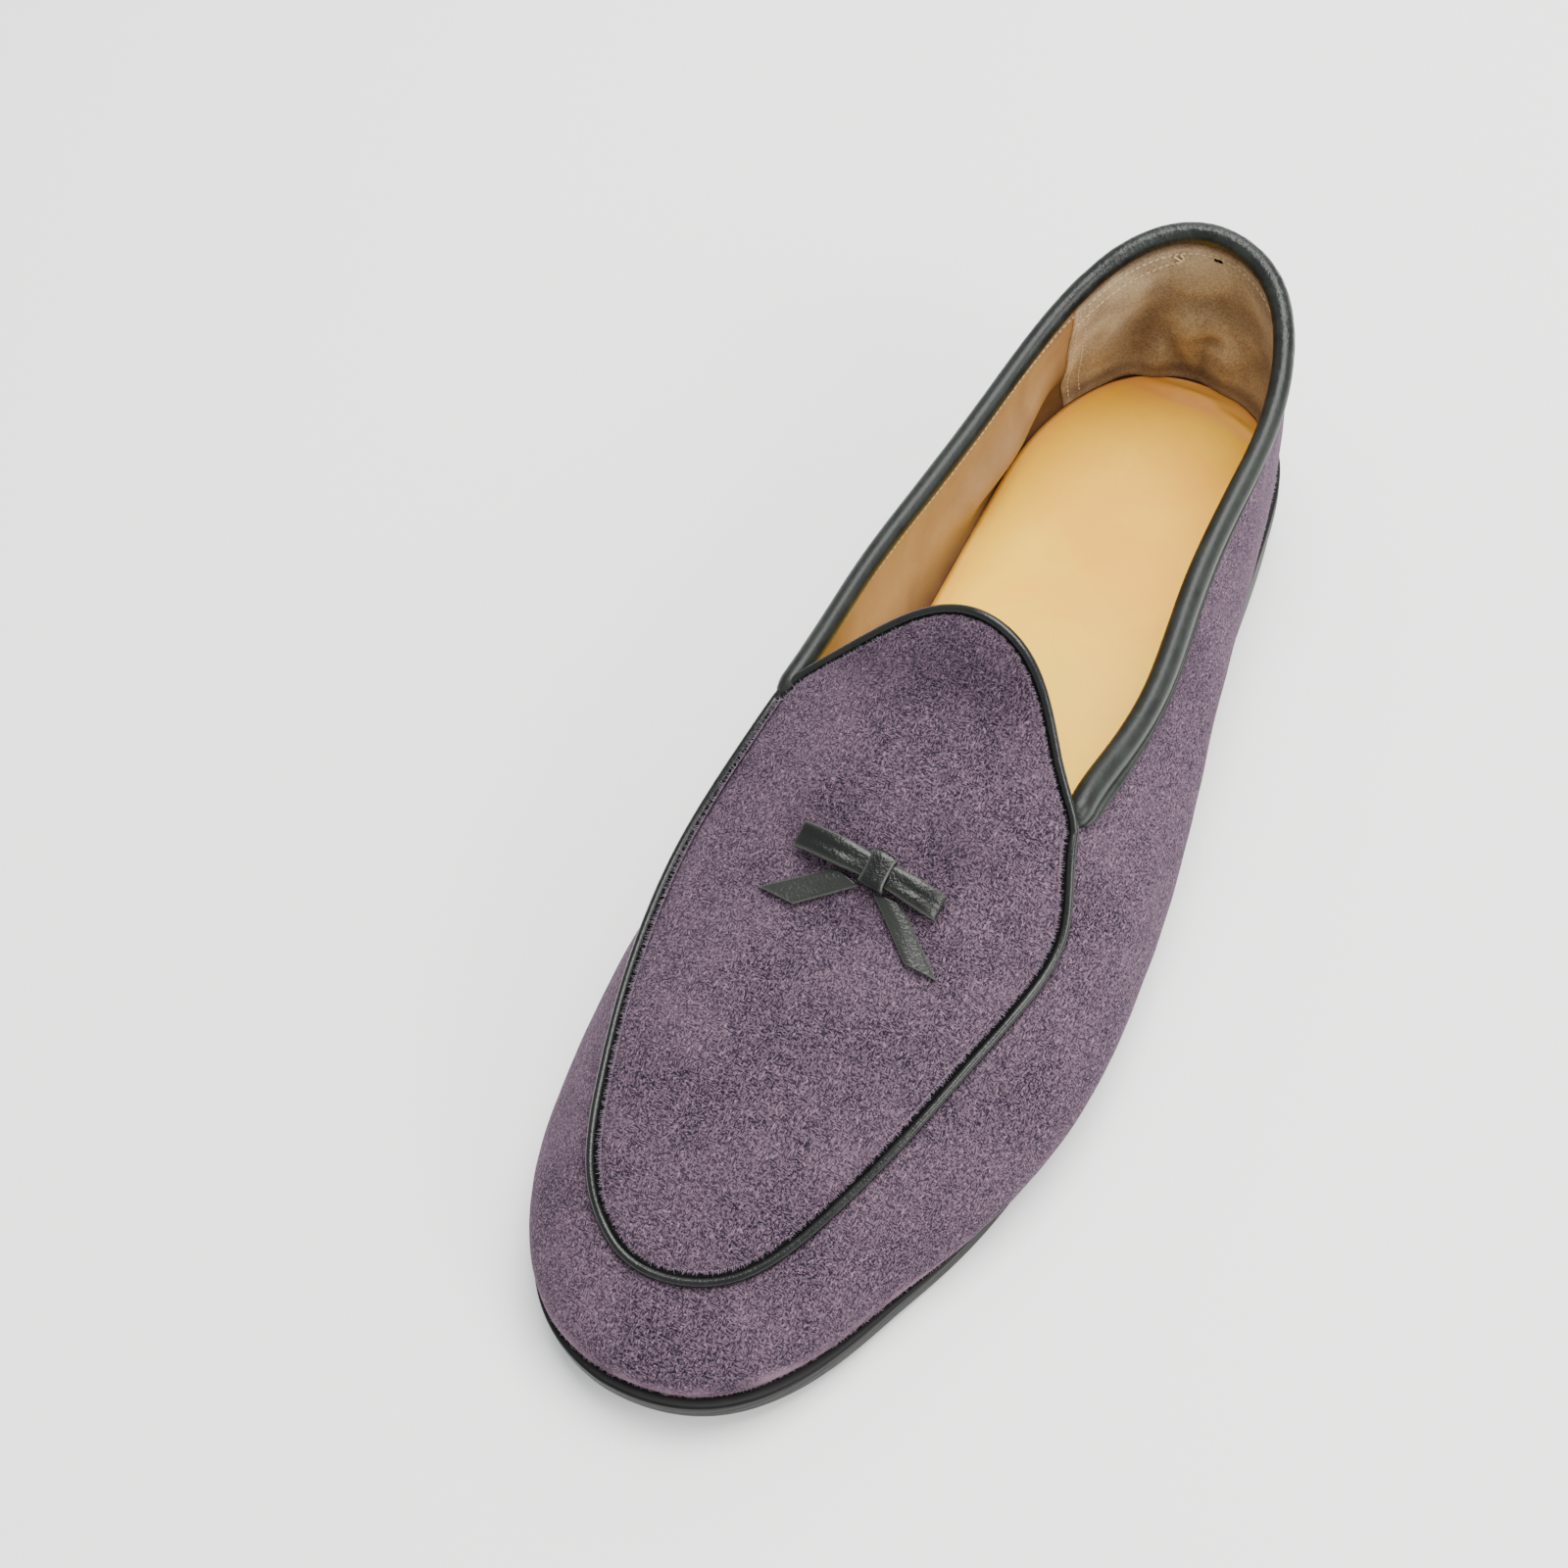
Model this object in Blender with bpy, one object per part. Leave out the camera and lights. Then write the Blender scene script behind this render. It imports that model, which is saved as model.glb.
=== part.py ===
"""Belgian loafer for the left foot: one hollow suede upper on a thin leather sole with a low heel.

Metres, +Z up. The toe points along -Y and the heel along +Y, +X is the outer side of the foot,
and Z = 0 is the floor under the heel and the ball. The tables are in millimetres.
"""
import math
from collections import namedtuple

import bpy
import numpy as np
from mathutils import Vector
from mathutils.bvhtree import BVHTree

MM = 0.001

# The tables are drawn about the middle of the sole. The frame's origin is this point of them: on the
# floor, under the middle of the whole shoe's length and width.
FRAME_X = 5.0
FRAME_Y = -1.1

# Driving sizes of the last, and the same sizes of the shoe that the tables below are drawn for.
LENGTH = 292.0
BALL_WIDTH = 104.0
INSTEP_HEIGHT = 78.0
DRAWN_LENGTH = 292.0
DRAWN_BALL_WIDTH = 104.0
DRAWN_INSTEP_HEIGHT = 78.0

# Side profile of the tread: a level heel, an arch, a level ball and the spring of the toe.
HEEL_HEIGHT = 10.8
BREAST_Y = 61.0
BALL_BACK_Y = -30.0
BALL_FRONT_Y = -62.0
TOE_Y = -147.0
TOE_SPRING = 8.0
SPRING_POWER = 1.7

# Thickness of each layer, and the gap that two pieces keep.
SOLE_THICKNESS = 6.0
INSOLE_THICKNESS = 3.0
WALL = 2.0
GAP = 0.3

# The upper, a row for each section round the shoe. "foot" is where the wall meets the sole, and
# "edge" is its upper edge: the middle of the collar roll at the back, the apron seam at the front.
# "belly" and "rise" lead the wall out and up from the sole, "lean" and "drop" lead it to the edge.
Row = namedtuple("Row", "name foot_x foot_y edge_x edge_y edge_z belly rise lean drop")
ROWS = [
    Row("back", 1, 144.5, 2, 143, 73, 3, 20, 2, 18),
    Row("outer heel turn", 21, 137, 20, 136, 69.7, 2, 20, 1.5, 18),
    Row("outer heel", 31, 114, 31.3, 112, 62, 2, 20, 1, 18),
    Row("outer breast", 35.5, 85, 32.6, 86, 55.6, 6.5, 15, 4, 16),
    Row("outer waist back", 39.3, 60, 33.8, 61, 52, 9, 13, 7.5, 15),
    Row("outer waist", 43.5, 35, 37.3, 35, 50.3, 12, 12, 9, 14),
    Row("outer waist front", 48, 10, 36.8, 13, 51, 15, 11, 12, 14),
    Row("outer throat", 51.5, -16, 37, -7, 51.5, 16.5, 11, 13, 13),
    Row("outer ball back", 53, -38, 43, -24, 42.5, 15.5, 10, 12, 9),
    Row("outer ball", 52, -62, 42.5, -41, 39, 14, 9.5, 11, 7),
    Row("outer ball front", 47.5, -86, 38.5, -57, 36.7, 9.5, 9, 9, 6),
    Row("little toe", 41, -104, 33.6, -76, 34, 5, 8.5, 8, 5),
    Row("outer toe", 33, -123, 25.5, -100, 29.7, 3, 8, 8.5, 3.5),
    Row("outer toe turn", 19.5, -139.5, 14, -119.5, 27.3, 2.5, 8, 8.5, 4),
    Row("toe tip", 1, -145.5, -2.5, -126, 27.5, 2.5, 8, 8.5, 4.5),
    Row("inner toe turn", -16.5, -142.5, -14, -122.5, 29, 3, 8, 8, 4.5),
    Row("inner toe", -30.2, -131.5, -23, -113, 32.7, 3, 9, 8, 5),
    Row("big toe", -40, -112, -30.7, -94, 36, 3, 10, 7.5, 7),
    Row("inner ball front", -46, -90, -36, -75, 39, 3, 11, 6.5, 8),
    Row("inner ball", -48.5, -66, -39.3, -54, 42.8, 3, 12, 4, 10),
    Row("inner ball back", -48, -40, -39.3, -33, 47.5, 3.5, 13, 2.5, 13),
    Row("inner throat", -43, -14, -35.5, -6, 55.3, 5, 14, 3, 15),
    Row("inner waist front", -36.5, 8, -34.5, 12, 56.3, 6, 14, 4, 15),
    Row("inner waist", -32.5, 32, -34.5, 35, 56.3, 4, 14, 4, 15),
    Row("inner waist back", -32.5, 60, -32, 60.5, 57.5, 3, 15, 4, 16),
    Row("inner breast", -34, 88, -28.8, 88, 60.5, 3, 18, 4, 18),
    Row("inner heel", -32.5, 115, -23.5, 115.5, 66.7, 3, 20, 3, 18),
    Row("inner heel turn", -20, 138, -13, 135, 72.2, 3, 20, 2, 18),
]
OUTER_THROAT, TOE_TIP, INNER_THROAT = 7, 14, 21

# The free edge of the tab, from the outer throat over its top to the inner throat.
TabPoint = namedtuple("TabPoint", "name x y z")
TAB = [
    TabPoint("outer foot", 33, -1.5, 56.5),
    TabPoint("outer side", 27.5, 5.5, 62.8),
    TabPoint("outer shoulder", 20, 14, 70.5),
    TabPoint("outer top", 11.5, 19, 75.5),
    TabPoint("top", 1.5, 20.5, 77.2),
    TabPoint("inner top", -8.5, 18.7, 74),
    TabPoint("inner shoulder", -17, 14, 68.8),
    TabPoint("inner side", -25, 7.5, 63.2),
    TabPoint("inner foot", -32, 1, 58.3),
]
TAB_TOP = 4

# The crest of the apron, from toe to tab, and how the apron's ribs run up to it.
CrestPoint = namedtuple("CrestPoint", "y x z")
CREST = [
    CrestPoint(-120, -2, 29.4),
    CrestPoint(-105, -3, 35.2),
    CrestPoint(-90, -4, 40),
    CrestPoint(-70, -4, 45.5),
    CrestPoint(-50, -2.5, 51),
    CrestPoint(-30, -1, 57.5),
    CrestPoint(-10, 0, 65.5),
    CrestPoint(5, 1, 71.5),
    CrestPoint(18, 1.5, 76.6),
]
CREST_SHRINK = 0.91
CREST_SHIFT = -3.2

# Fineness of the solids.
SPLITS = 3
WALL_STEPS = 8
APRON_STEPS = 6
CREST_SPLITS = 8
SOLE_STATIONS = 34
INSOLE_RIB_STEPS = 40
SMOOTH_ANGLE = math.radians(40.0)

# The padded roll on the collar, and the piping on the apron seam and the tab.
ROLL_OUT = 2.5
ROLL_HEIGHT = 2.7
ROLL_SEAT = 1.6
ROLL_SIDES = 9
ROLL_START = 1
ROLL_END = 0.34
PIPING_HALF_WIDTH = 1.2
PIPING_HEIGHT = 1.5
PIPING_SIDES = 6

# The bow: a flattened ring of ribbon for its two loops, a band round its middle and two tails.
# Its own measures run along the bar, across it up the foot, and off the apron.
BOW_X = 3.5
BOW_Y = -35.0
BOW_TURN = math.radians(-2.0)
RIBBON = 6.0
RIBBON_THICKNESS = 0.9
BAR_LENGTH = 34.5
BAR_HEIGHT = 3.8
BAR_PINCH = 2.0
BAR_PINCH_REACH = 8.6
BAR_PINCH_POWER = 1.5
BAR_MIDDLE = 2.7
BAR_END_POWER = 0.7
BAR_FACE_POWER = 0.5
BAR_POINTS = 44
KNOT_MIDDLE = 2.4
KNOT_LENGTH = 5.4
KNOT_HEIGHT = 4.8
KNOT_DEPTH = 8.4
KNOT_CORNER_POWER = 0.35
KNOT_POINTS = 24
Tail = namedtuple("Tail", "name root_near root_far tip heel")
TAILS = [
    Tail("bow_tail_inner", (-6.2, -3.4), (-0.2, -4.8), (-20.4, -14.2), (-11.2, -14.6)),
    Tail("bow_tail_outer", (9.2, -3.4), (3.4, -4.8), (22.7, -13.4), (15.4, -14.2)),
]
TAIL_LIFT = 0.6
TAIL_STEPS = 6

# Sole edge, which is widest round the toe, and heel.
EDGE_OUT = 1.2
TOE_EDGE_OUT = 2.6
TOE_EDGE_START_Y = -85.0
TOE_EDGE_END_Y = -135.0
EDGE_ROUND = 0.8
HEEL_IN = 0.4
HEEL_TAPER = 1.2
BREAST_CURVE = 3.0
BREAST_POINTS = 6
BREAST_CORNER_GAP = 2.0
HEEL_SKIP = 3


def clear_scene():
    for thing in list(bpy.data.objects):
        bpy.data.objects.remove(thing, do_unlink=True)


def material(name, colour, roughness):
    """A Principled material; the colour is linear."""
    made = bpy.data.materials.new(name)
    made.use_nodes = True
    shader = made.node_tree.nodes["Principled BSDF"]
    shader.inputs["Base Color"].default_value = (*colour, 1.0)
    shader.inputs["Roughness"].default_value = roughness
    shader.inputs["Metallic"].default_value = 0.0
    return made


def add_solid(name, points, faces, made_of):
    """A smooth-shaded object from points in millimetres."""
    mesh = bpy.data.meshes.new(name)
    placed = (np.asarray(points) - (FRAME_X, FRAME_Y, 0.0)) * MM
    mesh.from_pydata([tuple(point) for point in placed.tolist()], [], faces)
    mesh.materials.append(made_of)
    mesh.shade_smooth()
    mesh.set_sharp_from_angle(angle=SMOOTH_ANGLE)
    thing = bpy.data.objects.new(name, mesh)
    bpy.context.scene.collection.objects.link(thing)
    return thing


def unit(vectors):
    return vectors / np.linalg.norm(vectors, axis=-1, keepdims=True)


def spline(points, splits, closed=False):
    """A curve with even bending through the points, with `splits` samples in each span."""
    points = np.asarray(points, float)
    count = len(points)
    ahead = np.roll(points, -1, axis=0) - points
    span = np.sqrt(np.linalg.norm(ahead, axis=1))
    slopes = ahead / span[:, None]
    matrix = np.zeros((count, count))
    right = np.zeros_like(points)
    for i in range(count):
        before, after = i - 1, (i + 1) % count
        if closed or 0 < i < count - 1:
            matrix[i, before] += span[i]
            matrix[i, i] += 2.0 * (span[i] + span[before])
            matrix[i, after] += span[before]
            right[i] = 3.0 * (span[i] * slopes[before] + span[before] * slopes[i])
        else:
            other = 1 if i == 0 else count - 2
            matrix[i, i], matrix[i, other] = 2.0, 1.0
            right[i] = 3.0 * slopes[min(i, other)]
    tangents = np.linalg.solve(matrix, right)
    out = []
    for i in range(count if closed else count - 1):
        after = (i + 1) % count
        for t in np.arange(splits) / splits:
            start, end = points[i], points[after]
            lead, trail = tangents[i] * span[i], tangents[after] * span[i]
            out.append(start * (1 + 2 * t) * (1 - t) ** 2 + lead * t * (1 - t) ** 2
                       + end * t * t * (3 - 2 * t) + trail * t * t * (t - 1))
    if not closed:
        out.append(points[-1])
    return np.array(out)


def bezier(p0, p1, p2, p3, steps):
    """Points along cubic curves: the result has one more axis, for the steps."""
    t = np.linspace(0.0, 1.0, steps + 1)[:, None]
    p0, p1, p2, p3 = (p[..., None, :] for p in (p0, p1, p2, p3))
    return p0 * (1 - t) ** 3 + 3 * p1 * t * (1 - t) ** 2 + 3 * p2 * t * t * (1 - t) + p3 * t ** 3


def sized(points):
    """Carries points drawn for the table's shoe to the driving sizes."""
    ratio = np.array([BALL_WIDTH / DRAWN_BALL_WIDTH, LENGTH / DRAWN_LENGTH,
                      INSTEP_HEIGHT / DRAWN_INSTEP_HEIGHT])
    return points * ratio[:points.shape[-1]]


def tread(y):
    """Height of the sole's underside at y."""
    arch = np.clip((y - BALL_BACK_Y) / (BREAST_Y - BALL_BACK_Y), 0.0, 1.0)
    spring = np.clip((BALL_FRONT_Y - y) / (BALL_FRONT_Y - TOE_Y), 0.0, None)
    return HEEL_HEIGHT * arch * arch * (3 - 2 * arch) + TOE_SPRING * spring ** SPRING_POWER


def feather(y):
    """Height at which the upper stands on the sole."""
    return tread(y) + SOLE_THICKNESS


def plan_normals(ring):
    """Outward directions of a closed ring that runs from the back over +X to the toe."""
    along = np.roll(ring, -1, axis=0) - np.roll(ring, 1, axis=0)
    out = np.zeros((len(ring), 3))
    out[:, 0] = -along[:, 1]
    out[:, 1] = along[:, 0]
    return unit(out)


def wall_ribs(splits, steps):
    """The outer face of the wall: for each fine row, points from the sole up to the edge."""
    table = np.array([row[1:] for row in ROWS], float)
    fine = spline(table, splits, closed=True)
    foot = sized(np.column_stack([fine[:, 0], fine[:, 1]]))
    foot = np.column_stack([foot, feather(foot[:, 1])])
    edge = sized(fine[:, 2:5])
    out = plan_normals(foot)
    belly, rise, lean, drop = (fine[:, i:i + 1] for i in range(5, 9))
    up = np.array([0.0, 0.0, 1.0])
    low = foot + out * belly + up * rise
    high = edge + out * lean - up * drop
    return bezier(foot, low, high, collar_rim(edge, high, out, splits), steps), out


def collar_rim(edge, high, out, splits):
    """Lowers the wall's edge under the collar roll, and leaves it on the seam at the front."""
    row = np.arange(len(edge)) / splits
    from_throat = np.maximum(OUTER_THROAT - row, row - INNER_THROAT)
    under_roll = np.clip(from_throat, 0.0, 1.0)[:, None]
    climb = unit(edge - high)
    return edge + under_roll * (out * WALL / 2 - climb * (ROLL_SEAT + GAP))


def apron_loop(ribs, splits):
    """The apron's rim as two runs from the toe tip to the top of the tab, outer and inner."""
    edge = ribs[:, -1]
    tip, outer, inner = (n * splits for n in (TOE_TIP, OUTER_THROAT, INNER_THROAT))
    tab = sized(np.array([point[1:] for point in TAB], float))
    lead = splits
    free = spline(np.vstack([edge[outer + lead], edge[outer], tab, edge[inner], edge[inner - lead]]),
                  splits)[splits:-splits]
    top = (TAB_TOP + 1) * splits
    outer_run = np.vstack([edge[tip:outer:-1], free[:top + 1]])
    inner_run = np.vstack([edge[tip:inner], free[:top - 1:-1]])
    return outer_run, inner_run


def crest_points(outer_run, inner_run):
    """Points on the apron's crest, one for each pair of rim points."""
    line = sized(spline([(point.x, point.y, point.z) for point in CREST], CREST_SPLITS))
    y = CREST_SHRINK * (outer_run[:, 1] + inner_run[:, 1]) / 2 + CREST_SHIFT
    x = np.interp(y, line[:, 1], line[:, 0])
    z = np.interp(y, line[:, 1], line[:, 2])
    return np.column_stack([x, y, z])


def apron_ribs(run, crest, steps):
    """The apron between its rim and its crest: arches that lie level at the crest."""
    step = crest - run
    near = run + step * np.array([1 / 3, 1 / 3, 2 / 3])
    far = run + step * np.array([2 / 3, 2 / 3, 1.0])
    return bezier(run, near, far, crest, steps)


def upper_surface(splits, wall_steps, apron_steps):
    """The outer face of the whole upper as one open surface, and the named lines on it."""
    ribs, out = wall_ribs(splits, wall_steps)
    outer_run, inner_run = apron_loop(ribs, splits)
    crest = crest_points(outer_run, inner_run)
    grids = [ribs, apron_ribs(outer_run, crest, apron_steps), apron_ribs(inner_run, crest, apron_steps)]
    points, index, seen = [], {}, []

    def number(point):
        key = tuple(np.round(point, 4))
        if key not in index:
            index[key] = len(points)
            points.append(point)
        return index[key]

    for grid in grids:
        seen.append([[number(p) for p in rib] for rib in grid])
    faces = []
    wall, outer, inner = seen
    for a, b in zip(wall, wall[1:] + wall[:1]):
        faces += [(a[j], a[j + 1], b[j + 1], b[j]) for j in range(wall_steps)]
    for a, b in zip(inner, inner[1:]):
        faces += [(a[j], a[j + 1], b[j + 1], b[j]) for j in range(apron_steps)]
    for a, b in zip(outer, outer[1:]):
        faces += [(b[j], b[j + 1], a[j + 1], a[j]) for j in range(apron_steps)]
    return np.array(points), tidy_faces(faces), ribs, out, outer_run, inner_run


def tidy_faces(faces):
    """Drops repeated corners, which leaves triangles where ribs meet."""
    kept = []
    for face in faces:
        corners = [c for i, c in enumerate(face) if c != face[i - 1]]
        if len(set(corners)) > 2:
            kept.append(tuple(corners))
    return kept


def vertex_normals(points, faces):
    normals = np.zeros_like(points)
    for face in faces:
        corner = points[list(face)]
        across = np.cross(corner[1] - corner[0], corner[2] - corner[0])
        if len(face) == 4:
            across = across + np.cross(corner[2] - corner[0], corner[3] - corner[0])
        for c in face:
            normals[c] += across
    return unit(normals)


def triangles(faces):
    """Splits each four-cornered face in two."""
    split = []
    for face in faces:
        split.append(face[:3])
        if len(face) == 4:
            split.append((face[0],) + face[2:])
    return split


def thicken(points, faces, floor_points):
    """A closed wall: the surface, its copy set in by WALL, and strips along the open edges."""
    inward = vertex_normals(points, faces) * WALL
    faces = triangles(faces)
    inward[floor_points, 2] = 0.0
    inward[floor_points] = unit(inward[floor_points]) * WALL
    both = np.vstack([points, points - inward])
    count = len(points)
    solid = faces + [tuple(c + count for c in reversed(face)) for face in faces]
    sides = set()
    for face in faces:
        sides.update(zip(face, face[1:] + face[:1]))
    for a, b in sides:
        if (b, a) not in sides:
            solid.append((b, a, a + count, b + count))
    return both, solid


def build_upper(suede):
    points, faces, ribs, out, outer_run, inner_run = upper_surface(SPLITS, WALL_STEPS, APRON_STEPS)
    at = {tuple(np.round(p, 4)): i for i, p in enumerate(points)}
    floor_points = [at[tuple(np.round(rib[0], 4))] for rib in ribs]
    solid_points, solid_faces = thicken(points, faces, floor_points)
    add_solid("upper", solid_points, solid_faces, suede)
    normals = vertex_normals(points, faces)
    loop = np.vstack([outer_run, inner_run[-2:0:-1]])
    loop_normals = np.array([normals[at[tuple(np.round(p, 4))]] for p in loop])
    tree = BVHTree.FromPolygons([tuple(p) for p in points], faces)
    return ribs, out, loop, loop_normals, tree


def station_ring(curve, count):
    """Resamples a closed plan curve so that its two sides pair up: back, outer side, tip, inner."""
    back, tip = np.argmax(curve[:, 1]), np.argmin(curve[:, 1])
    around = np.roll(curve, -back, axis=0)
    turn = (tip - back) % len(curve)
    outer = around[:turn + 1]
    inner = np.vstack([around[turn:], around[:1]])
    half = (curve[back, 1] - curve[tip, 1]) / 2
    middle = (curve[back, 1] + curve[tip, 1]) / 2
    y = middle + half * np.cos(np.pi * np.arange(1, count) / count)
    outer_x = np.interp(-y, -outer[:, 1], outer[:, 0])
    inner_x = np.interp(y, inner[:, 1], inner[:, 0])
    return np.vstack([curve[back, :2], np.column_stack([outer_x, y]), curve[tip, :2],
                      np.column_stack([inner_x, y])[::-1]])


def ring_solid(rings):
    """A closed solid through rings of equal count, bottom first, with paired strips as its caps."""
    count = len(rings[0])
    half = count // 2
    points = np.vstack(rings)
    faces = []
    for level in range(len(rings) - 1):
        low, high = level * count, (level + 1) * count
        faces += [(low + (i + 1) % count, low + i, high + i, high + (i + 1) % count) for i in range(count)]
    top = (len(rings) - 1) * count
    for i in range(half):
        a, b = i, i + 1
        c, d = (count - i - 1) % count, (count - i) % count
        faces.append((a, b, c, d))
        faces.append((top + d, top + c, top + b, top + a))
    return points, tidy_faces(faces)


def offset_ring(ring, outset, heights):
    moved = ring + plan_normals(ring)[:, :2] * np.reshape(outset, (-1, 1))
    return np.column_stack([moved, heights(moved[:, 1])])


def edge_width(y):
    """How far the sole's edge stands out past the upper."""
    toe = np.clip((TOE_EDGE_START_Y - y) / (TOE_EDGE_START_Y - TOE_EDGE_END_Y), 0.0, 1.0)
    return EDGE_OUT + (TOE_EDGE_OUT - EDGE_OUT) * toe * toe * (3 - 2 * toe)


def build_outsole(ribs, leather):
    ring = station_ring(ribs[:, 0, :2], SOLE_STATIONS)
    top = SOLE_THICKNESS - GAP
    out = edge_width(ring[:, 1])
    levels = [(out - EDGE_ROUND, 0.0), (out, EDGE_ROUND), (out, top - EDGE_ROUND), (out - EDGE_ROUND, top)]
    rings = [offset_ring(ring, width, lambda y, up=up: tread(y) + up) for width, up in levels]
    add_solid("outsole", *ring_solid(rings), leather)


def heel_outline(ring, outset):
    """The sole's outline behind the heel breast, closed by a hollowed front face."""
    edge = offset_ring(ring, outset, tread)[:, :2]
    half = len(edge) // 2
    outer = edge[:half]
    inner = edge[half:]
    outer_corner = [np.interp(-BREAST_Y, -outer[:, 1], outer[:, 0]), BREAST_Y]
    inner_corner = [np.interp(BREAST_Y, inner[:, 1], inner[:, 0]), BREAST_Y]
    across = np.linspace(0.0, 1.0, BREAST_POINTS + 2)[1:-1, None]
    front = np.array(outer_corner) * (1 - across) + np.array(inner_corner) * across
    front[:, 1] += BREAST_CURVE * 4 * across[:, 0] * (1 - across[:, 0])
    outer = outer[outer[:, 1] > BREAST_Y + BREAST_CORNER_GAP][::HEEL_SKIP]
    inner = inner[inner[:, 1] > BREAST_Y + BREAST_CORNER_GAP][::HEEL_SKIP]
    return np.vstack([outer, outer_corner, front, inner_corner, inner])


def build_heel(ribs, leather):
    """The low heel block, a little wider at the seat than at the floor."""
    ring = station_ring(ribs[:, 0, :2], HEEL_SKIP * SOLE_STATIONS)
    low = heel_outline(ring, EDGE_OUT - HEEL_TAPER)
    high = heel_outline(ring, EDGE_OUT - HEEL_IN)
    count = len(low)
    points = np.vstack([np.column_stack([low, np.zeros(count)]),
                        np.column_stack([high, np.full(count, HEEL_HEIGHT - GAP)])])
    faces = [tuple(range(count)), tuple(range(2 * count - 1, count - 1, -1))]
    faces += [((i + 1) % count, i, count + i, count + (i + 1) % count) for i in range(count)]
    add_solid("heel", points, faces, leather)


def build_insole(ribs, leather):
    """A flat sock whose side follows the wall's inner face."""
    fine = wall_ribs(SPLITS, INSOLE_RIB_STEPS)[0]
    raised = []
    for rib in fine:
        level = rib[0, 2] + INSOLE_THICKNESS
        raised.append([np.interp(level, rib[:, 2], rib[:, 0]), np.interp(level, rib[:, 2], rib[:, 1])])
    low = station_ring(fine[:, 0, :2], SOLE_STATIONS)
    high = station_ring(np.array(raised), SOLE_STATIONS)
    inset = WALL + 2 * GAP
    rings = [offset_ring(low, -inset, feather),
             offset_ring(high, -inset - GAP, lambda y: feather(y) + INSOLE_THICKNESS)]
    add_solid("insole", *ring_solid(rings), leather)


def sweep(path, side, rise, section, closed, sizes=None):
    """A solid of one section along a path; `section` has (sideways, upward) corners."""
    sizes = np.ones(len(path)) if sizes is None else sizes
    rings = [p + (np.outer(section[:, 0], s) + np.outer(section[:, 1], r)) * size
             for p, s, r, size in zip(path, side, rise, sizes)]
    count, turns = len(section), len(rings)
    faces = []
    for k in range(turns if closed else turns - 1):
        a, b = k * count, ((k + 1) % turns) * count
        faces += [(a + (i + 1) % count, a + i, b + i, b + (i + 1) % count) for i in range(count)]
    if not closed:
        faces.append(tuple(range(count)))
        faces.append(tuple(turns * count - 1 - i for i in range(count)))
    return np.vstack(rings), faces


def build_roll(ribs, out, leather):
    """The padded leather roll that sits on the collar, from the outer throat round the back."""
    count = len(ribs)
    start = INNER_THROAT * SPLITS + ROLL_START
    end = count + OUTER_THROAT * SPLITS - ROLL_START
    rows = np.arange(start, end + 1) % count
    climb = unit(ribs[rows, -1] - ribs[rows, -2])
    path = ribs[rows, -1] + climb * GAP - out[rows] * WALL / 2
    along = unit(np.gradient(path, axis=0))
    side = unit(np.cross(along, climb))
    rise = unit(np.cross(side, along))
    base = math.asin(ROLL_SEAT / ROLL_HEIGHT)
    angles = np.linspace(-base, math.pi + base, ROLL_SIDES)
    section = np.column_stack([ROLL_OUT * np.cos(angles), ROLL_SEAT + ROLL_HEIGHT * np.sin(angles)])
    sizes = np.ones(len(path))
    sizes[[0, -1]] = ROLL_END
    add_solid("collar_roll", *sweep(path, side, rise, section, False, sizes), leather)


def build_piping(loop, normals, leather):
    """A half-round piping that lies on the apron seam and along the tab."""
    along = unit(np.roll(loop, -1, axis=0) - np.roll(loop, 1, axis=0))
    side = unit(np.cross(along, normals))
    rise = unit(np.cross(side, along))
    angles = np.linspace(0.0, math.pi, PIPING_SIDES)
    section = np.column_stack([PIPING_HALF_WIDTH * np.cos(angles), GAP + PIPING_HEIGHT * np.sin(angles)])
    add_solid("apron_piping", *sweep(loop, side, rise, section, closed=True), leather)


def bow_frame(tree):
    """Returns a function that lays (along, across, off) points of the bow on the apron."""
    down = Vector((0.0, 0.0, -1.0))
    high = Vector((BOW_X, BOW_Y, 2 * INSTEP_HEIGHT))
    along = Vector((math.cos(BOW_TURN), math.sin(BOW_TURN), 0.0))
    across = Vector((-along.y, along.x, 0.0))
    facing = tree.ray_cast(high, down)[1]
    facing = facing * math.copysign(1.0, facing.z)

    def lay(points):
        laid = []
        for u, v, w in points:
            hit = tree.ray_cast(high + along * u + across * (v * facing.z), down)[0]
            laid.append(hit + facing * w)
        return np.array(laid)

    return lay


def band(outer, inner, spread, put):
    """A closed band of ribbon between two outlines, `spread` wide; `put` orders each corner."""
    points, faces = [], []
    for out, into in zip(outer, inner):
        points += [put(out, -spread / 2), put(out, spread / 2), put(into, spread / 2), put(into, -spread / 2)]
    count = len(outer)
    for k in range(count):
        a, b = 4 * k, 4 * ((k + 1) % count)
        faces += [(a + i, a + (i + 1) % 4, b + (i + 1) % 4, b + i) for i in range(4)]
    return points, faces


def signed_power(value, power):
    return math.copysign(abs(value) ** power, value)


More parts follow.
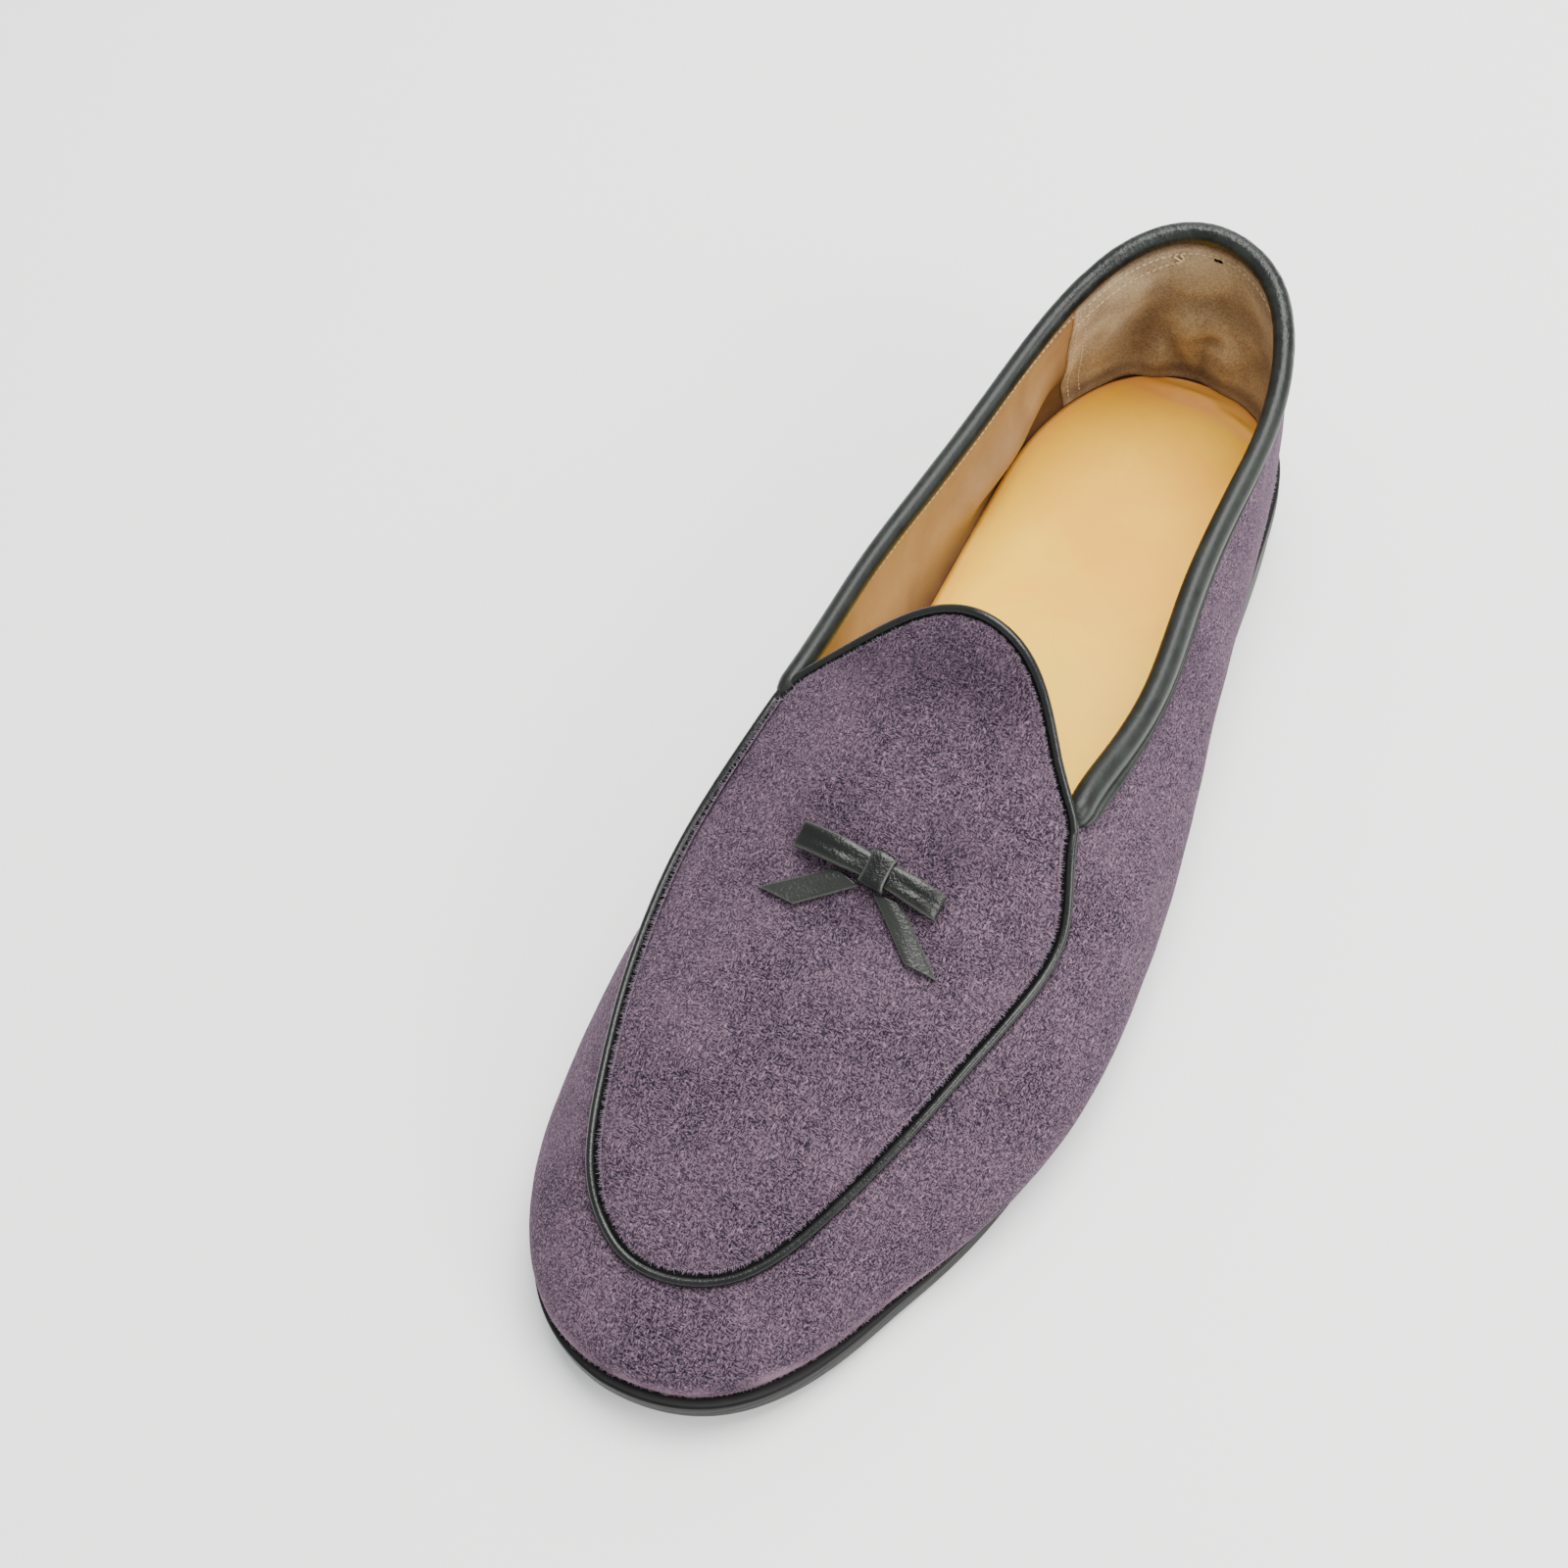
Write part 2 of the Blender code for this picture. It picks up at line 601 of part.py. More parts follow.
def build_bar(lay, leather):
    """The two loops: one ring of ribbon, open inside, pinched where the knot holds it."""
    half = BAR_LENGTH / 2
    outer, inner = [], []
    for k in range(BAR_POINTS):
        turn = 2 * math.pi * k / BAR_POINTS
        u = half * signed_power(math.cos(turn), BAR_END_POWER)
        open_part = min(1.0, abs(u - KNOT_MIDDLE) / BAR_PINCH_REACH) ** BAR_PINCH_POWER
        height = (BAR_PINCH + (BAR_HEIGHT - BAR_PINCH) * open_part) / 2
        reach = signed_power(math.sin(turn), BAR_FACE_POWER)
        outer.append((u, BAR_MIDDLE + reach * height))
        inner.append((u * (half - RIBBON_THICKNESS) / half, BAR_MIDDLE + reach * (height - RIBBON_THICKNESS)))
    points, faces = band(outer, inner, RIBBON, lambda p, v: (p[0], v, p[1]))
    add_solid("bow_loops", lay(points), faces, leather)


def build_knot(lay, leather):
    """The band round the bar's middle."""
    outer, inner = [], []
    depth, height = KNOT_DEPTH / 2, KNOT_HEIGHT / 2
    middle = GAP + height
    for k in range(KNOT_POINTS):
        turn = 2 * math.pi * k / KNOT_POINTS
        v = signed_power(math.cos(turn), KNOT_CORNER_POWER)
        w = signed_power(math.sin(turn), KNOT_CORNER_POWER)
        outer.append((v * depth, middle + w * height))
        inner.append((v * (depth - RIBBON_THICKNESS), middle + w * (height - RIBBON_THICKNESS)))
    points, faces = band(outer, inner, KNOT_LENGTH, lambda p, u: (KNOT_MIDDLE + u, p[0], p[1]))
    add_solid("bow_knot", lay(points), [face[::-1] for face in faces], leather)


def build_tail(lay, tail, leather):
    """A flat tail that comes from under the knot and ends in a slanting cut."""
    near, far, tip, heel = (np.array(corner) for corner in tail[1:])
    points, faces = [], []
    for k in range(TAIL_STEPS + 1):
        t = k / TAIL_STEPS
        low = GAP + TAIL_LIFT * (1 - t) ** 2
        for edge in (near + (tip - near) * t, far + (heel - far) * t):
            points += [(*edge, low), (*edge, low + RIBBON_THICKNESS)]
    last = 4 * TAIL_STEPS
    order = (0, 1, 3, 2)
    for k in range(TAIL_STEPS):
        a, b = 4 * k, 4 * k + 4
        for i, j in zip(order, order[1:] + order[:1]):
            faces.append((a + i, a + j, b + j, b + i))
    faces.append((0, 2, 3, 1))
    faces.append((last, last + 1, last + 3, last + 2))
    if tip[0] < near[0]:
        faces = [face[::-1] for face in faces]
    add_solid(tail.name, lay(points), faces, leather)


def build():
    clear_scene()
    suede = material("mauve_suede", (0.127, 0.080, 0.150), 0.95)
    black = material("black_leather", (0.012, 0.012, 0.012), 0.42)
    edge_black = material("black_sole_leather", (0.010, 0.010, 0.011), 0.5)
    tan = material("tan_leather", (0.73, 0.43, 0.18), 0.5)
    ribs, out, loop, loop_normals, tree = build_upper(suede)
    build_outsole(ribs, edge_black)
    build_heel(ribs, edge_black)
    build_insole(ribs, tan)
    build_roll(ribs, out, black)
    build_piping(loop, loop_normals, black)
    lay = bow_frame(tree)
    build_bar(lay, black)
    build_knot(lay, black)
    for tail in TAILS:
        build_tail(lay, tail, black)


build()
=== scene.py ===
"""Belgian loafer for the left foot: purple suede on a thin black-edged leather sole with a low heel.

The shoe is put together in the order of its making. Its tables are in millimetres, drawn about the
middle of the sole: toe to -Y, heel to +Y, outer side of the foot to +X, floor at Z = 0.
"""
import math
from collections import namedtuple

import bpy
import numpy as np
from mathutils import Matrix, Vector, noise
from mathutils.bvhtree import BVHTree


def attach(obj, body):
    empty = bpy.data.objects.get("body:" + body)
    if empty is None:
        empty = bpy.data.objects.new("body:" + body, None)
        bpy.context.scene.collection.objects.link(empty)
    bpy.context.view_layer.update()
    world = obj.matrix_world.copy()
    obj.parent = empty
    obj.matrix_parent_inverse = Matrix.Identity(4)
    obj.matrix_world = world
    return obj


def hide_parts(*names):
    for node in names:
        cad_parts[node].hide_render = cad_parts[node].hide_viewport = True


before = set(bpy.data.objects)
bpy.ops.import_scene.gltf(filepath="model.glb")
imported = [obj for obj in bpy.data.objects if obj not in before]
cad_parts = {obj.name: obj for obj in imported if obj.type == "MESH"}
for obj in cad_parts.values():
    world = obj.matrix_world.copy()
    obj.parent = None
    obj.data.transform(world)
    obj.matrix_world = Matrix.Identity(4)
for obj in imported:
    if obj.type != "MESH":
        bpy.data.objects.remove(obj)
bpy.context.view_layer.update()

# Vamp and quarters: one piece of purple suede, pulled over the last and fastened under the insole.
# Its upper edge is sewn to the apron in front, and turned into the leather collar roll behind.
MM = 0.001
FRAME_ORIGIN = np.array([5.0, -1.1, 0.0])
SUEDE_THICKNESS = 1.2
WALL = 2.0
LINING_DEPTH = 1.25
ROLL_SEAT = 1.6
SPLITS = 20
WALL_STEPS = 52
APRON_STEPS = 30
APRON_STITCH = 2.8

# A row for each section round the shoe: where the wall meets the sole and where its upper edge is,
# how far it bellies out and rises from the sole, and how it leans and drops from the edge.
Row = namedtuple("Row", "name foot_x foot_y edge_x edge_y edge_z belly rise lean drop")
ROWS = [
    Row("back", 1, 144.5, 2, 143, 73, 3, 20, 2, 18),
    Row("outer heel turn", 21, 137, 20, 136, 69.7, 2, 20, 1.5, 18),
    Row("outer heel", 31, 114, 31.3, 112, 62, 2, 20, 1, 18),
    Row("outer breast", 35.5, 85, 32.6, 86, 55.6, 6.5, 15, 4, 16),
    Row("outer waist back", 39.3, 60, 33.8, 61, 52, 9, 13, 7.5, 15),
    Row("outer waist", 43.5, 35, 37.3, 35, 50.3, 12, 12, 9, 14),
    Row("outer waist front", 48, 10, 36.8, 13, 51, 15, 11, 12, 14),
    Row("outer throat", 51.5, -16, 37, -7, 51.5, 16.5, 11, 13, 13),
    Row("outer ball back", 53, -38, 43, -24, 42.5, 15.5, 10, 12, 9),
    Row("outer ball", 52, -62, 42.5, -41, 39, 14, 9.5, 11, 7),
    Row("outer ball front", 47.5, -86, 38.5, -57, 36.7, 9.5, 9, 9, 6),
    Row("little toe", 41, -104, 33.6, -76, 34, 5, 8.5, 8, 5),
    Row("outer toe", 33, -123, 25.5, -100, 29.7, 3, 8, 8.5, 3.5),
    Row("outer toe turn", 19.5, -139.5, 14, -119.5, 27.3, 2.5, 8, 8.5, 4),
    Row("toe tip", 1, -145.5, -2.5, -126, 27.5, 2.5, 8, 8.5, 4.5),
    Row("inner toe turn", -16.5, -142.5, -14, -122.5, 29, 3, 8, 8, 4.5),
    Row("inner toe", -30.2, -131.5, -23, -113, 32.7, 3, 9, 8, 5),
    Row("big toe", -40, -112, -30.7, -94, 36, 3, 10, 7.5, 7),
    Row("inner ball front", -46, -90, -36, -75, 39, 3, 11, 6.5, 8),
    Row("inner ball", -48.5, -66, -39.3, -54, 42.8, 3, 12, 4, 10),
    Row("inner ball back", -48, -40, -39.3, -33, 47.5, 3.5, 13, 2.5, 13),
    Row("inner throat", -43, -14, -35.5, -6, 55.3, 5, 14, 3, 15),
    Row("inner waist front", -36.5, 8, -34.5, 12, 56.3, 6, 14, 4, 15),
    Row("inner waist", -32.5, 32, -34.5, 35, 56.3, 4, 14, 4, 15),
    Row("inner waist back", -32.5, 60, -32, 60.5, 57.5, 3, 15, 4, 16),
    Row("inner breast", -34, 88, -28.8, 88, 60.5, 3, 18, 4, 18),
    Row("inner heel", -32.5, 115, -23.5, 115.5, 66.7, 3, 20, 3, 18),
    Row("inner heel turn", -20, 138, -13, 135, 72.2, 3, 20, 2, 18),
]
OUTER_THROAT, TOE_TIP, INNER_THROAT = 7, 14, 21

# Soft folds of the suede, a trough where the height is below zero: the middle of the fold, the way
# it runs, its half length and half width.
Fold = namedtuple("Fold", "name x y z run_x run_y run_z length width height")
FOLDS = [
    Fold("outer quarter dip", 44, 30, 40, 0.1, 1, 0.3, 16, 7, -0.7),
    Fold("outer waist swell", 50, -4, 34, 0, 1, 0, 20, 8, 0.6),
    Fold("outer heel pull", 33, 100, 40, 0.1, 0.4, 1, 16, 4, -0.5),
    Fold("inner waist pull", -38, 18, 36, 0, 0.5, 1, 14, 4, -0.7),
    Fold("inner waist pull behind", -36, 40, 36, 0, 0.4, 1, 14, 5, -0.6),
    Fold("inner heel pull", -33, 96, 42, 0, 0.3, 1, 16, 4, -0.6),
    Fold("tab hollow", 14, -2, 70, 0.3, 1, 0.5, 10, 8, -0.7),
    Fold("bow hollow", 3, -40, 56, 1, 0, 0, 14, 8, -0.5),
    Fold("toe swell", -3, -100, 36, 1, 0.1, 0, 12, 9, 0.4),
    Fold("inner joint dent", -40, -60, 36, 0.1, 1, 0, 10, 5, -0.4),
    Fold("inner toe bulge", -38, -114, 18, 0.5, -1, 0, 20, 6, 1.0),
    Fold("outer ball bulge", 53, -50, 20, 0, 1, 0, 22, 6, 0.5),
]

# Darker patches of the suede, and painted shadow of the bow on the suede under and before it, as dark as the
# height.
DARK_PATCHES_AND_BOW_SHADOW = [
    Fold("tab", 5, 9, 72, 1, 0.1, 0, 22, 12, 0.55),
    Fold("tab edge inner", -20, 6, 67, 1, -1, 0, 14, 6, 0.3),
    # Painted shadow of the bow on the suede round it.
    Fold("under the bow outer", 17, -24, 56, 1, 0, 0, 9, 7, 0.35),
    Fold("under the bow inner", -12, -30, 56, 1, 0, 0, 9, 7, 0.35),
    Fold("before the bow", 3, -46, 52, 1, 0, 0, 16, 4, 0.3),
    Fold("outer quarter", 39.5, 42, 47, 0, 1, 0, 12, 6, 0.4),
    Fold("outer quarter low", 46, 62, 24, 0, 1, 0, 18, 7, 0.25),
    Fold("outer waist", 50, 2, 22, 0, 1, 0, 24, 6, 0.25),
    Fold("inner waist", -38, 20, 30, 0, 1, 0, 30, 9, 0.3),
    Fold("inner joint", -46, -66, 20, 0, 1, 0, 24, 6, 0.12),
    Fold("back of the heel", 0, 146, 40, 0, 0, 1, 22, 12, 0.3),
]


def unit(vectors):
    return vectors / np.maximum(np.linalg.norm(vectors, axis=-1, keepdims=True), 1e-12)


def spline(points, splits, closed=False):
    """A curve with even bending through the points, with `splits` samples in each span."""
    points = np.asarray(points, float)
    count = len(points)
    ahead = np.roll(points, -1, axis=0) - points
    span = np.sqrt(np.linalg.norm(ahead, axis=1))
    slopes = ahead / span[:, None]
    matrix = np.zeros((count, count))
    right = np.zeros_like(points)
    for i in range(count):
        before, after = i - 1, (i + 1) % count
        if closed or 0 < i < count - 1:
            matrix[i, before] += span[i]
            matrix[i, i] += 2.0 * (span[i] + span[before])
            matrix[i, after] += span[before]
            right[i] = 3.0 * (span[i] * slopes[before] + span[before] * slopes[i])
        else:
            other = 1 if i == 0 else count - 2
            matrix[i, i], matrix[i, other] = 2.0, 1.0
            right[i] = 3.0 * slopes[min(i, other)]
    tangents = np.linalg.solve(matrix, right)
    out = []
    for i in range(count if closed else count - 1):
        after = (i + 1) % count
        for t in np.arange(splits) / splits:
            lead, trail = tangents[i] * span[i], tangents[after] * span[i]
            out.append(points[i] * (1 + 2 * t) * (1 - t) ** 2 + lead * t * (1 - t) ** 2
                       + points[after] * t * t * (3 - 2 * t) + trail * t * t * (t - 1))
    if not closed:
        out.append(points[-1])
    return np.array(out)


def bezier(p0, p1, p2, p3, steps):
    t = np.linspace(0.0, 1.0, steps + 1)[:, None]
    p0, p1, p2, p3 = (p[..., None, :] for p in (p0, p1, p2, p3))
    return p0 * (1 - t) ** 3 + 3 * p1 * t * (1 - t) ** 2 + 3 * p2 * t * t * (1 - t) + p3 * t ** 3


HEEL_HEIGHT, BREAST_Y, BALL_BACK_Y, BALL_FRONT_Y = 10.8, 61.0, -30.0, -62.0
TOE_Y, TOE_SPRING, SPRING_POWER = -147.0, 8.0, 1.7
SOLE_THICKNESS = 6.0


def tread(y):
    """Height of the sole's underside at y: level heel, arch, level ball, toe spring."""
    arch = np.clip((y - BALL_BACK_Y) / (BREAST_Y - BALL_BACK_Y), 0.0, 1.0)
    spring = np.clip((BALL_FRONT_Y - y) / (BALL_FRONT_Y - TOE_Y), 0.0, None)
    return HEEL_HEIGHT * arch * arch * (3 - 2 * arch) + TOE_SPRING * spring ** SPRING_POWER


def plan_normals(ring):
    along = np.roll(ring, -1, axis=0) - np.roll(ring, 1, axis=0)
    return unit(np.column_stack([-along[:, 1], along[:, 0], np.zeros(len(ring))]))


def wall_ribs():
    """The wall's outer face: for each fine row, points from the sole up to the edge."""
    fine = spline([row[1:] for row in ROWS], SPLITS, closed=True)
    foot = np.column_stack([fine[:, :2], tread(fine[:, 1]) + SOLE_THICKNESS])
    edge = fine[:, 2:5]
    out = plan_normals(foot)
    belly, rise, lean, drop = (fine[:, i:i + 1] for i in range(5, 9))
    up = np.array([0.0, 0.0, 1.0])
    low = foot + out * belly + up * rise
    high = edge + out * lean - up * drop
    row = np.arange(len(edge)) / SPLITS
    behind = np.clip(np.maximum(OUTER_THROAT - row, row - INNER_THROAT), 0.0, 1.0)[:, None]
    climb = unit(edge - high)
    rim = edge + behind * (out * WALL / 2 - climb * ROLL_SEAT)
    return bezier(foot, low, high, rim, WALL_STEPS), edge, out, climb


# The free edge of the tab from the outer throat over its top to the inner throat, and the crest
# line of the apron from toe to tab.
TAB = [(33, -1.5, 56.5), (27.5, 5.5, 62.8), (20, 14, 70.5), (11.5, 19, 75.5), (1.5, 20.5, 77.2),
       (-8.5, 18.7, 74), (-17, 14, 68.8), (-25, 7.5, 63.2), (-32, 1, 58.3)]
TAB_TOP = 4
CREST = [(-2, -120, 29.4), (-3, -105, 35.2), (-4, -90, 40), (-4, -70, 45.5), (-2.5, -50, 51),
         (-1, -30, 57.5), (0, -10, 65.5), (1, 5, 71.5), (1.5, 18, 76.6)]
CREST_SHRINK, CREST_SHIFT = 0.91, -3.2


def apron_runs(edge):
    """The apron's rim as two runs from the toe tip to the top of the tab, outer and inner."""
    tip, outer, inner = (n * SPLITS for n in (TOE_TIP, OUTER_THROAT, INNER_THROAT))
    free = spline(np.vstack([edge[outer + SPLITS], edge[outer], TAB, edge[inner],
                             edge[inner - SPLITS]]), SPLITS)[SPLITS:-SPLITS]
    top = (TAB_TOP + 1) * SPLITS
    return (np.vstack([edge[tip:outer:-1], free[:top + 1]]),
            np.vstack([edge[tip:inner], free[:top - 1:-1]]))


def apron_ribs(run, other):
    """The apron between its rim and its crest: arches that lie level at the crest."""
    line = spline(CREST, 8)
    y = CREST_SHRINK * (run[:, 1] + other[:, 1]) / 2 + CREST_SHIFT
    crest = np.column_stack([np.interp(y, line[:, 1], line[:, 0]), y,
                             np.interp(y, line[:, 1], line[:, 2])])
    step = crest - run
    near = run + step * (1 / 3, 1 / 3, 2 / 3)
    far = run + step * (2 / 3, 2 / 3, 1.0)
    return bezier(run, near, far, crest, APRON_STEPS)


def lengths(ribs):
    """Distance along each rib from its first point."""
    steps = np.linalg.norm(np.diff(ribs, axis=-2), axis=-1)
    return np.concatenate([np.zeros(steps.shape[:-1] + (1,)), np.cumsum(steps, axis=-1)], axis=-1)


def grid_faces(columns, steps, first, closed, turned):
    """Four-cornered faces of a grid of points; `turned` reverses them."""
    a = np.arange(columns if closed else columns - 1)[:, None] * (steps + 1) + np.arange(steps)
    b = (a + steps + 1) % (columns * (steps + 1))
    faces = np.stack([a, a + 1, b + 1, b], axis=-1).reshape(-1, 4) + first
    return faces[:, ::-1] if turned else faces


def face_normals(points, faces):
    """Outward directions at the points, from the faces round each."""
    across = np.cross(points[faces[:, 2]] - points[faces[:, 0]], points[faces[:, 3]] - points[faces[:, 1]])
    normals = np.zeros_like(points)
    for corner in range(4):
        np.add.at(normals, faces[:, corner], across)
    return unit(normals)


wall_grid, collar_edge, wall_out, wall_climb = wall_ribs()
outer_run, inner_run = apron_runs(collar_edge)
outer_grid, inner_grid = apron_ribs(outer_run, inner_run), apron_ribs(inner_run, outer_run)
columns = len(wall_grid)
half_columns = len(outer_grid)
wall_size = columns * (WALL_STEPS + 1)
half_size = half_columns * (APRON_STEPS + 1)
loose = np.vstack([grid.reshape(-1, 3) for grid in (wall_grid, outer_grid, inner_grid)])
_, first_of, welded = np.unique(np.round(loose, 3), axis=0, return_index=True, return_inverse=True)
welded = welded.reshape(-1)
surface = loose[first_of]
wall_at = welded[:wall_size].reshape(columns, -1)
outer_at = welded[wall_size:wall_size + half_size].reshape(half_columns, -1)
inner_at = welded[wall_size + half_size:].reshape(half_columns, -1)
wall_faces = welded[grid_faces(columns, WALL_STEPS, 0, True, False)]
apron_faces = welded[np.vstack([
    grid_faces(half_columns, APRON_STEPS, wall_size, False, True),
    grid_faces(half_columns, APRON_STEPS, wall_size + half_size, False, False)])]
upper_faces = np.vstack([wall_faces, apron_faces])
surface_normals = face_normals(surface, upper_faces)

# How far each point lies from the seam of the apron or the edge of the tab, and how far along it.
FAR = 99.0
seam = np.full(len(surface), FAR)
along_seam = np.zeros(len(surface))
wall_down = lengths(wall_grid[:, ::-1])[:, ::-1]
halves = ((outer_run, outer_at, outer_grid, 1), (inner_run, inner_at, inner_grid, -1))
for run, grid_at, grid, side in halves:
    reach = lengths(run)
    seam[grid_at] = lengths(grid)
    along_seam[grid_at] = side * reach[:, None]
    part = reach[:(INNER_THROAT - TOE_TIP) * SPLITS + 1]
    wall_columns = TOE_TIP * SPLITS - side * np.arange(len(part))
    seam[wall_at[wall_columns]] = wall_down[wall_columns]
    along_seam[wall_at[wall_columns]] = side * part[:, None]


def folds_at(points, folds):
    """Summed height of the soft folds at the points."""
    height = np.zeros(len(points))
    for fold in folds:
        run = unit(np.array(fold[4:7], float))
        away = points - np.array(fold[1:4], float)
        along = away @ run
        aside = np.linalg.norm(away - along[:, None] * run, axis=1)
        height += fold.height * np.exp(-(along / fold.length) ** 2 - (aside / fold.width) ** 2)
    return height


def waves_at(points, size, seed):
    """Slow uneven waves of hand-lasted leather, each about `size` long."""
    shift = Vector((seed, 2.0 * seed, -seed))
    return np.array([noise.noise(Vector(p) / size + shift) for p in points.tolist()])


# Waves of the lasting, by height, length and seed. At the seam both pieces are drawn in and puckered
# at each stitch, the apron more than the vamp, and the apron swells a little behind its stitches.
WAVES = [(0.3, 22.0, 3.1), (0.12, 7.0, 8.4)]
APRON_DRAWN, VAMP_DRAWN, DRAWN_REACH = 0.55, 0.25, 1.8
APRON_PUCKER, VAMP_PUCKER, PUCKER_REACH = 0.14, 0.05, 3.0
APRON_SWELL, SWELL_AT, SWELL_REACH = 0.35, 4.0, 3.0
LEAST_SHEET = 0.55
FOOT_TUCK = 0.35
MOST_DARKENED = 0.75
on_apron = np.zeros(len(surface), bool)
on_apron[apron_faces] = True
puckers = np.exp(-(seam / PUCKER_REACH) ** 2) * np.cos(2 * math.pi * along_seam / APRON_STITCH)
relief = folds_at(surface, FOLDS)
for height, size, seed in WAVES:
    relief += height * waves_at(surface, size, seed)
relief += np.where(on_apron, APRON_PUCKER, VAMP_PUCKER) * puckers
relief -= np.where(on_apron, APRON_DRAWN, VAMP_DRAWN) * np.exp(-(seam / DRAWN_REACH) ** 2)
relief += np.where(on_apron, APRON_SWELL, 0.0) * np.exp(-((seam - SWELL_AT) / SWELL_REACH) ** 2)
relief = np.maximum(relief, LEAST_SHEET - LINING_DEPTH)
suede_face = surface + surface_normals * relief[:, None]
suede_face[wall_at[:, 0], 2] -= FOOT_TUCK
# How much the suede is darkened: darker patches, and painted shadow round the bow.
patch_and_bow_shadow = np.clip(folds_at(surface, DARK_PATCHES_AND_BOW_SHADOW), 0.0, MOST_DARKENED)
from_sole = np.full(len(surface), FAR)
from_sole[wall_at] = lengths(wall_grid)


def placed(points):
    """Points of the tables, in metres in the frame."""
    return ((np.asarray(points) - FRAME_ORIGIN) * MM).tolist()


def set_down(name, data):
    """A new object in the scene."""
    made = bpy.data.objects.new(name, data)
    bpy.context.scene.collection.objects.link(made)
    return made


def shoe_piece(name, points, faces, finish, values=None, ends=()):
    """A smooth object from points in millimetres, riding on the shoe; `values` are its attributes."""
    mesh = bpy.data.meshes.new(name)
    corners = [tuple(dict.fromkeys(face)) for face in faces.tolist()]
    corners = [face for face in corners if len(face) > 2] + [list(end) for end in ends]
    mesh.from_pydata(placed(points), [], corners)
    for word, numbers in (values or {}).items():
        layer = mesh.attributes.new(word, "FLOAT", "POINT")
        layer.data.foreach_set("value", np.asarray(numbers, np.float32))
    mesh.materials.append(finish)
    mesh.shade_smooth()
    piece = set_down(name, mesh)
    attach(piece, "root")
    return piece


def leather_sheet(name, faces, face, back, finish, values):
    """A closed sheet of leather between its face and its back, which share their faces."""
    used, faces = np.unique(faces, return_inverse=True)
    faces = faces.reshape(-1, 4)
    count = len(used)
    points = np.vstack([face[used], back[used]])
    sides = np.vstack([faces[:, [i, (i + 1) % 4]] for i in range(4)])
    sides = sides[sides[:, 0] != sides[:, 1]]
    forward, backward = sides @ (count, 1), sides @ (1, count)
    rim = sides[~np.isin(forward, backward)]
    strips = np.column_stack([rim[:, 1], rim[:, 0], rim[:, 0] + count, rim[:, 1] + count])
    both = {word: np.tile(numbers[used], 2) for word, numbers in values.items()}
    return shoe_piece(name, points, np.vstack([faces, faces[:, ::-1] + count, strips]), finish, both)


class Socket:
    """A value in a node tree: arithmetic on it adds Math nodes, and node() adds any other node."""

    def __init__(self, tree, socket):
        self.tree, self.socket = tree, socket

    def node(self, kind, inputs=(), output=0, **settings):
        """Adds a node: settings first, then a value or a link for each named or numbered input."""
        made = self.tree.nodes.new(kind)
        for word, value in settings.items():
            setattr(made, word, value)
        for word, value in dict(inputs).items():
            if isinstance(value, Socket):
                self.tree.links.new(value.socket, made.inputs[word])
            else:
                made.inputs[word].default_value = value
        return Socket(self.tree, made.outputs[output])

    def math(self, operation, *values):
        return self.node("ShaderNodeMath", dict(enumerate(values)), operation=operation)

    def vector(self, operation, inputs):
        return self.node("ShaderNodeVectorMath", {0: self, **inputs}, operation=operation)

    def __add__(self, other):
        return self.math("ADD", self, other)

    def __sub__(self, other):
        return self.math("SUBTRACT", self, other)

    def __rsub__(self, other):
        return self.math("SUBTRACT", other, self)

    def __mul__(self, other):
        return self.math("MULTIPLY", self, other)

    __radd__ = __add__
    __rmul__ = __mul__

    def __abs__(self):
        return self.math("ABSOLUTE", self)

    def between(self, low, high):
        """Rises smoothly from 0 at `low` to 1 at `high`."""
        return self.node("ShaderNodeMapRange", {"Value": self, "From Min": low, "From Max": high},
                         interpolation_type="SMOOTHSTEP")

    def turned(self, scale, turn=(0.0, 0.0, 0.0)):
        return self.node("ShaderNodeMapping", {"Vector": self, "Scale": scale, "Rotation": turn})

    def cloud(self, size, detail=2.0, roughness=0.5, distortion=0.0):
        """Soft noise about 0.5, with spots of about `size` metres."""
        return self.node("ShaderNodeTexNoise", {"Vector": self, "Scale": 1.0 / size, "Detail": detail,
                                                "Roughness": roughness, "Distortion": distortion})

    def cells(self, size):
        """Rounded grains of about `size` metres."""
        return self.node("ShaderNodeTexVoronoi", {"Vector": self, "Scale": 1.0 / size}, feature="SMOOTH_F1")

    def tint(self, low, high):
        """A colour between two linear colours, by this value."""
        return self.node("ShaderNodeMix", {0: self, 6: (*low, 1.0), 7: (*high, 1.0)}, output=2,
                         data_type="RGBA")

    def over(self, base, colour, how="MIX"):
        """`base` with `colour` laid over it, by this value."""
        colour = colour if isinstance(colour, Socket) else (*colour, 1.0)
        return self.node("ShaderNodeMix", {0: self, 6: base, 7: colour}, output=2, data_type="RGBA",
                         blend_type=how)


class Finish:
    """A leather finish: a Principled material and the shoe's own coordinates in it."""

    def __init__(self, name, **fixed):
        self.material = bpy.data.materials.new(name)
        self.material.use_nodes = True
        self.tree = self.material.node_tree
        self.shader = self.tree.nodes["Principled BSDF"]
        for word, value in fixed.items():
            self.shader.inputs[word.replace("_", " ")].default_value = value
        self.place = Socket(self.tree, None).node("ShaderNodeTexCoord", output="Object")

    def attribute(self, word):
        return self.place.node("ShaderNodeAttribute", output="Fac", attribute_name=word)

    def lay(self, colour, roughness=None, height=None):
        """Joins a colour, a roughness and a height in metres to the shader."""
        bump = height and height.node("ShaderNodeBump", {"Height": height, "Distance": 1.0})
        for word, value in (("Base Color", colour), ("Roughness", roughness), ("Normal", bump)):
            if value is not None:
                self.tree.links.new(value.socket, self.shader.inputs[word])
        return self.material
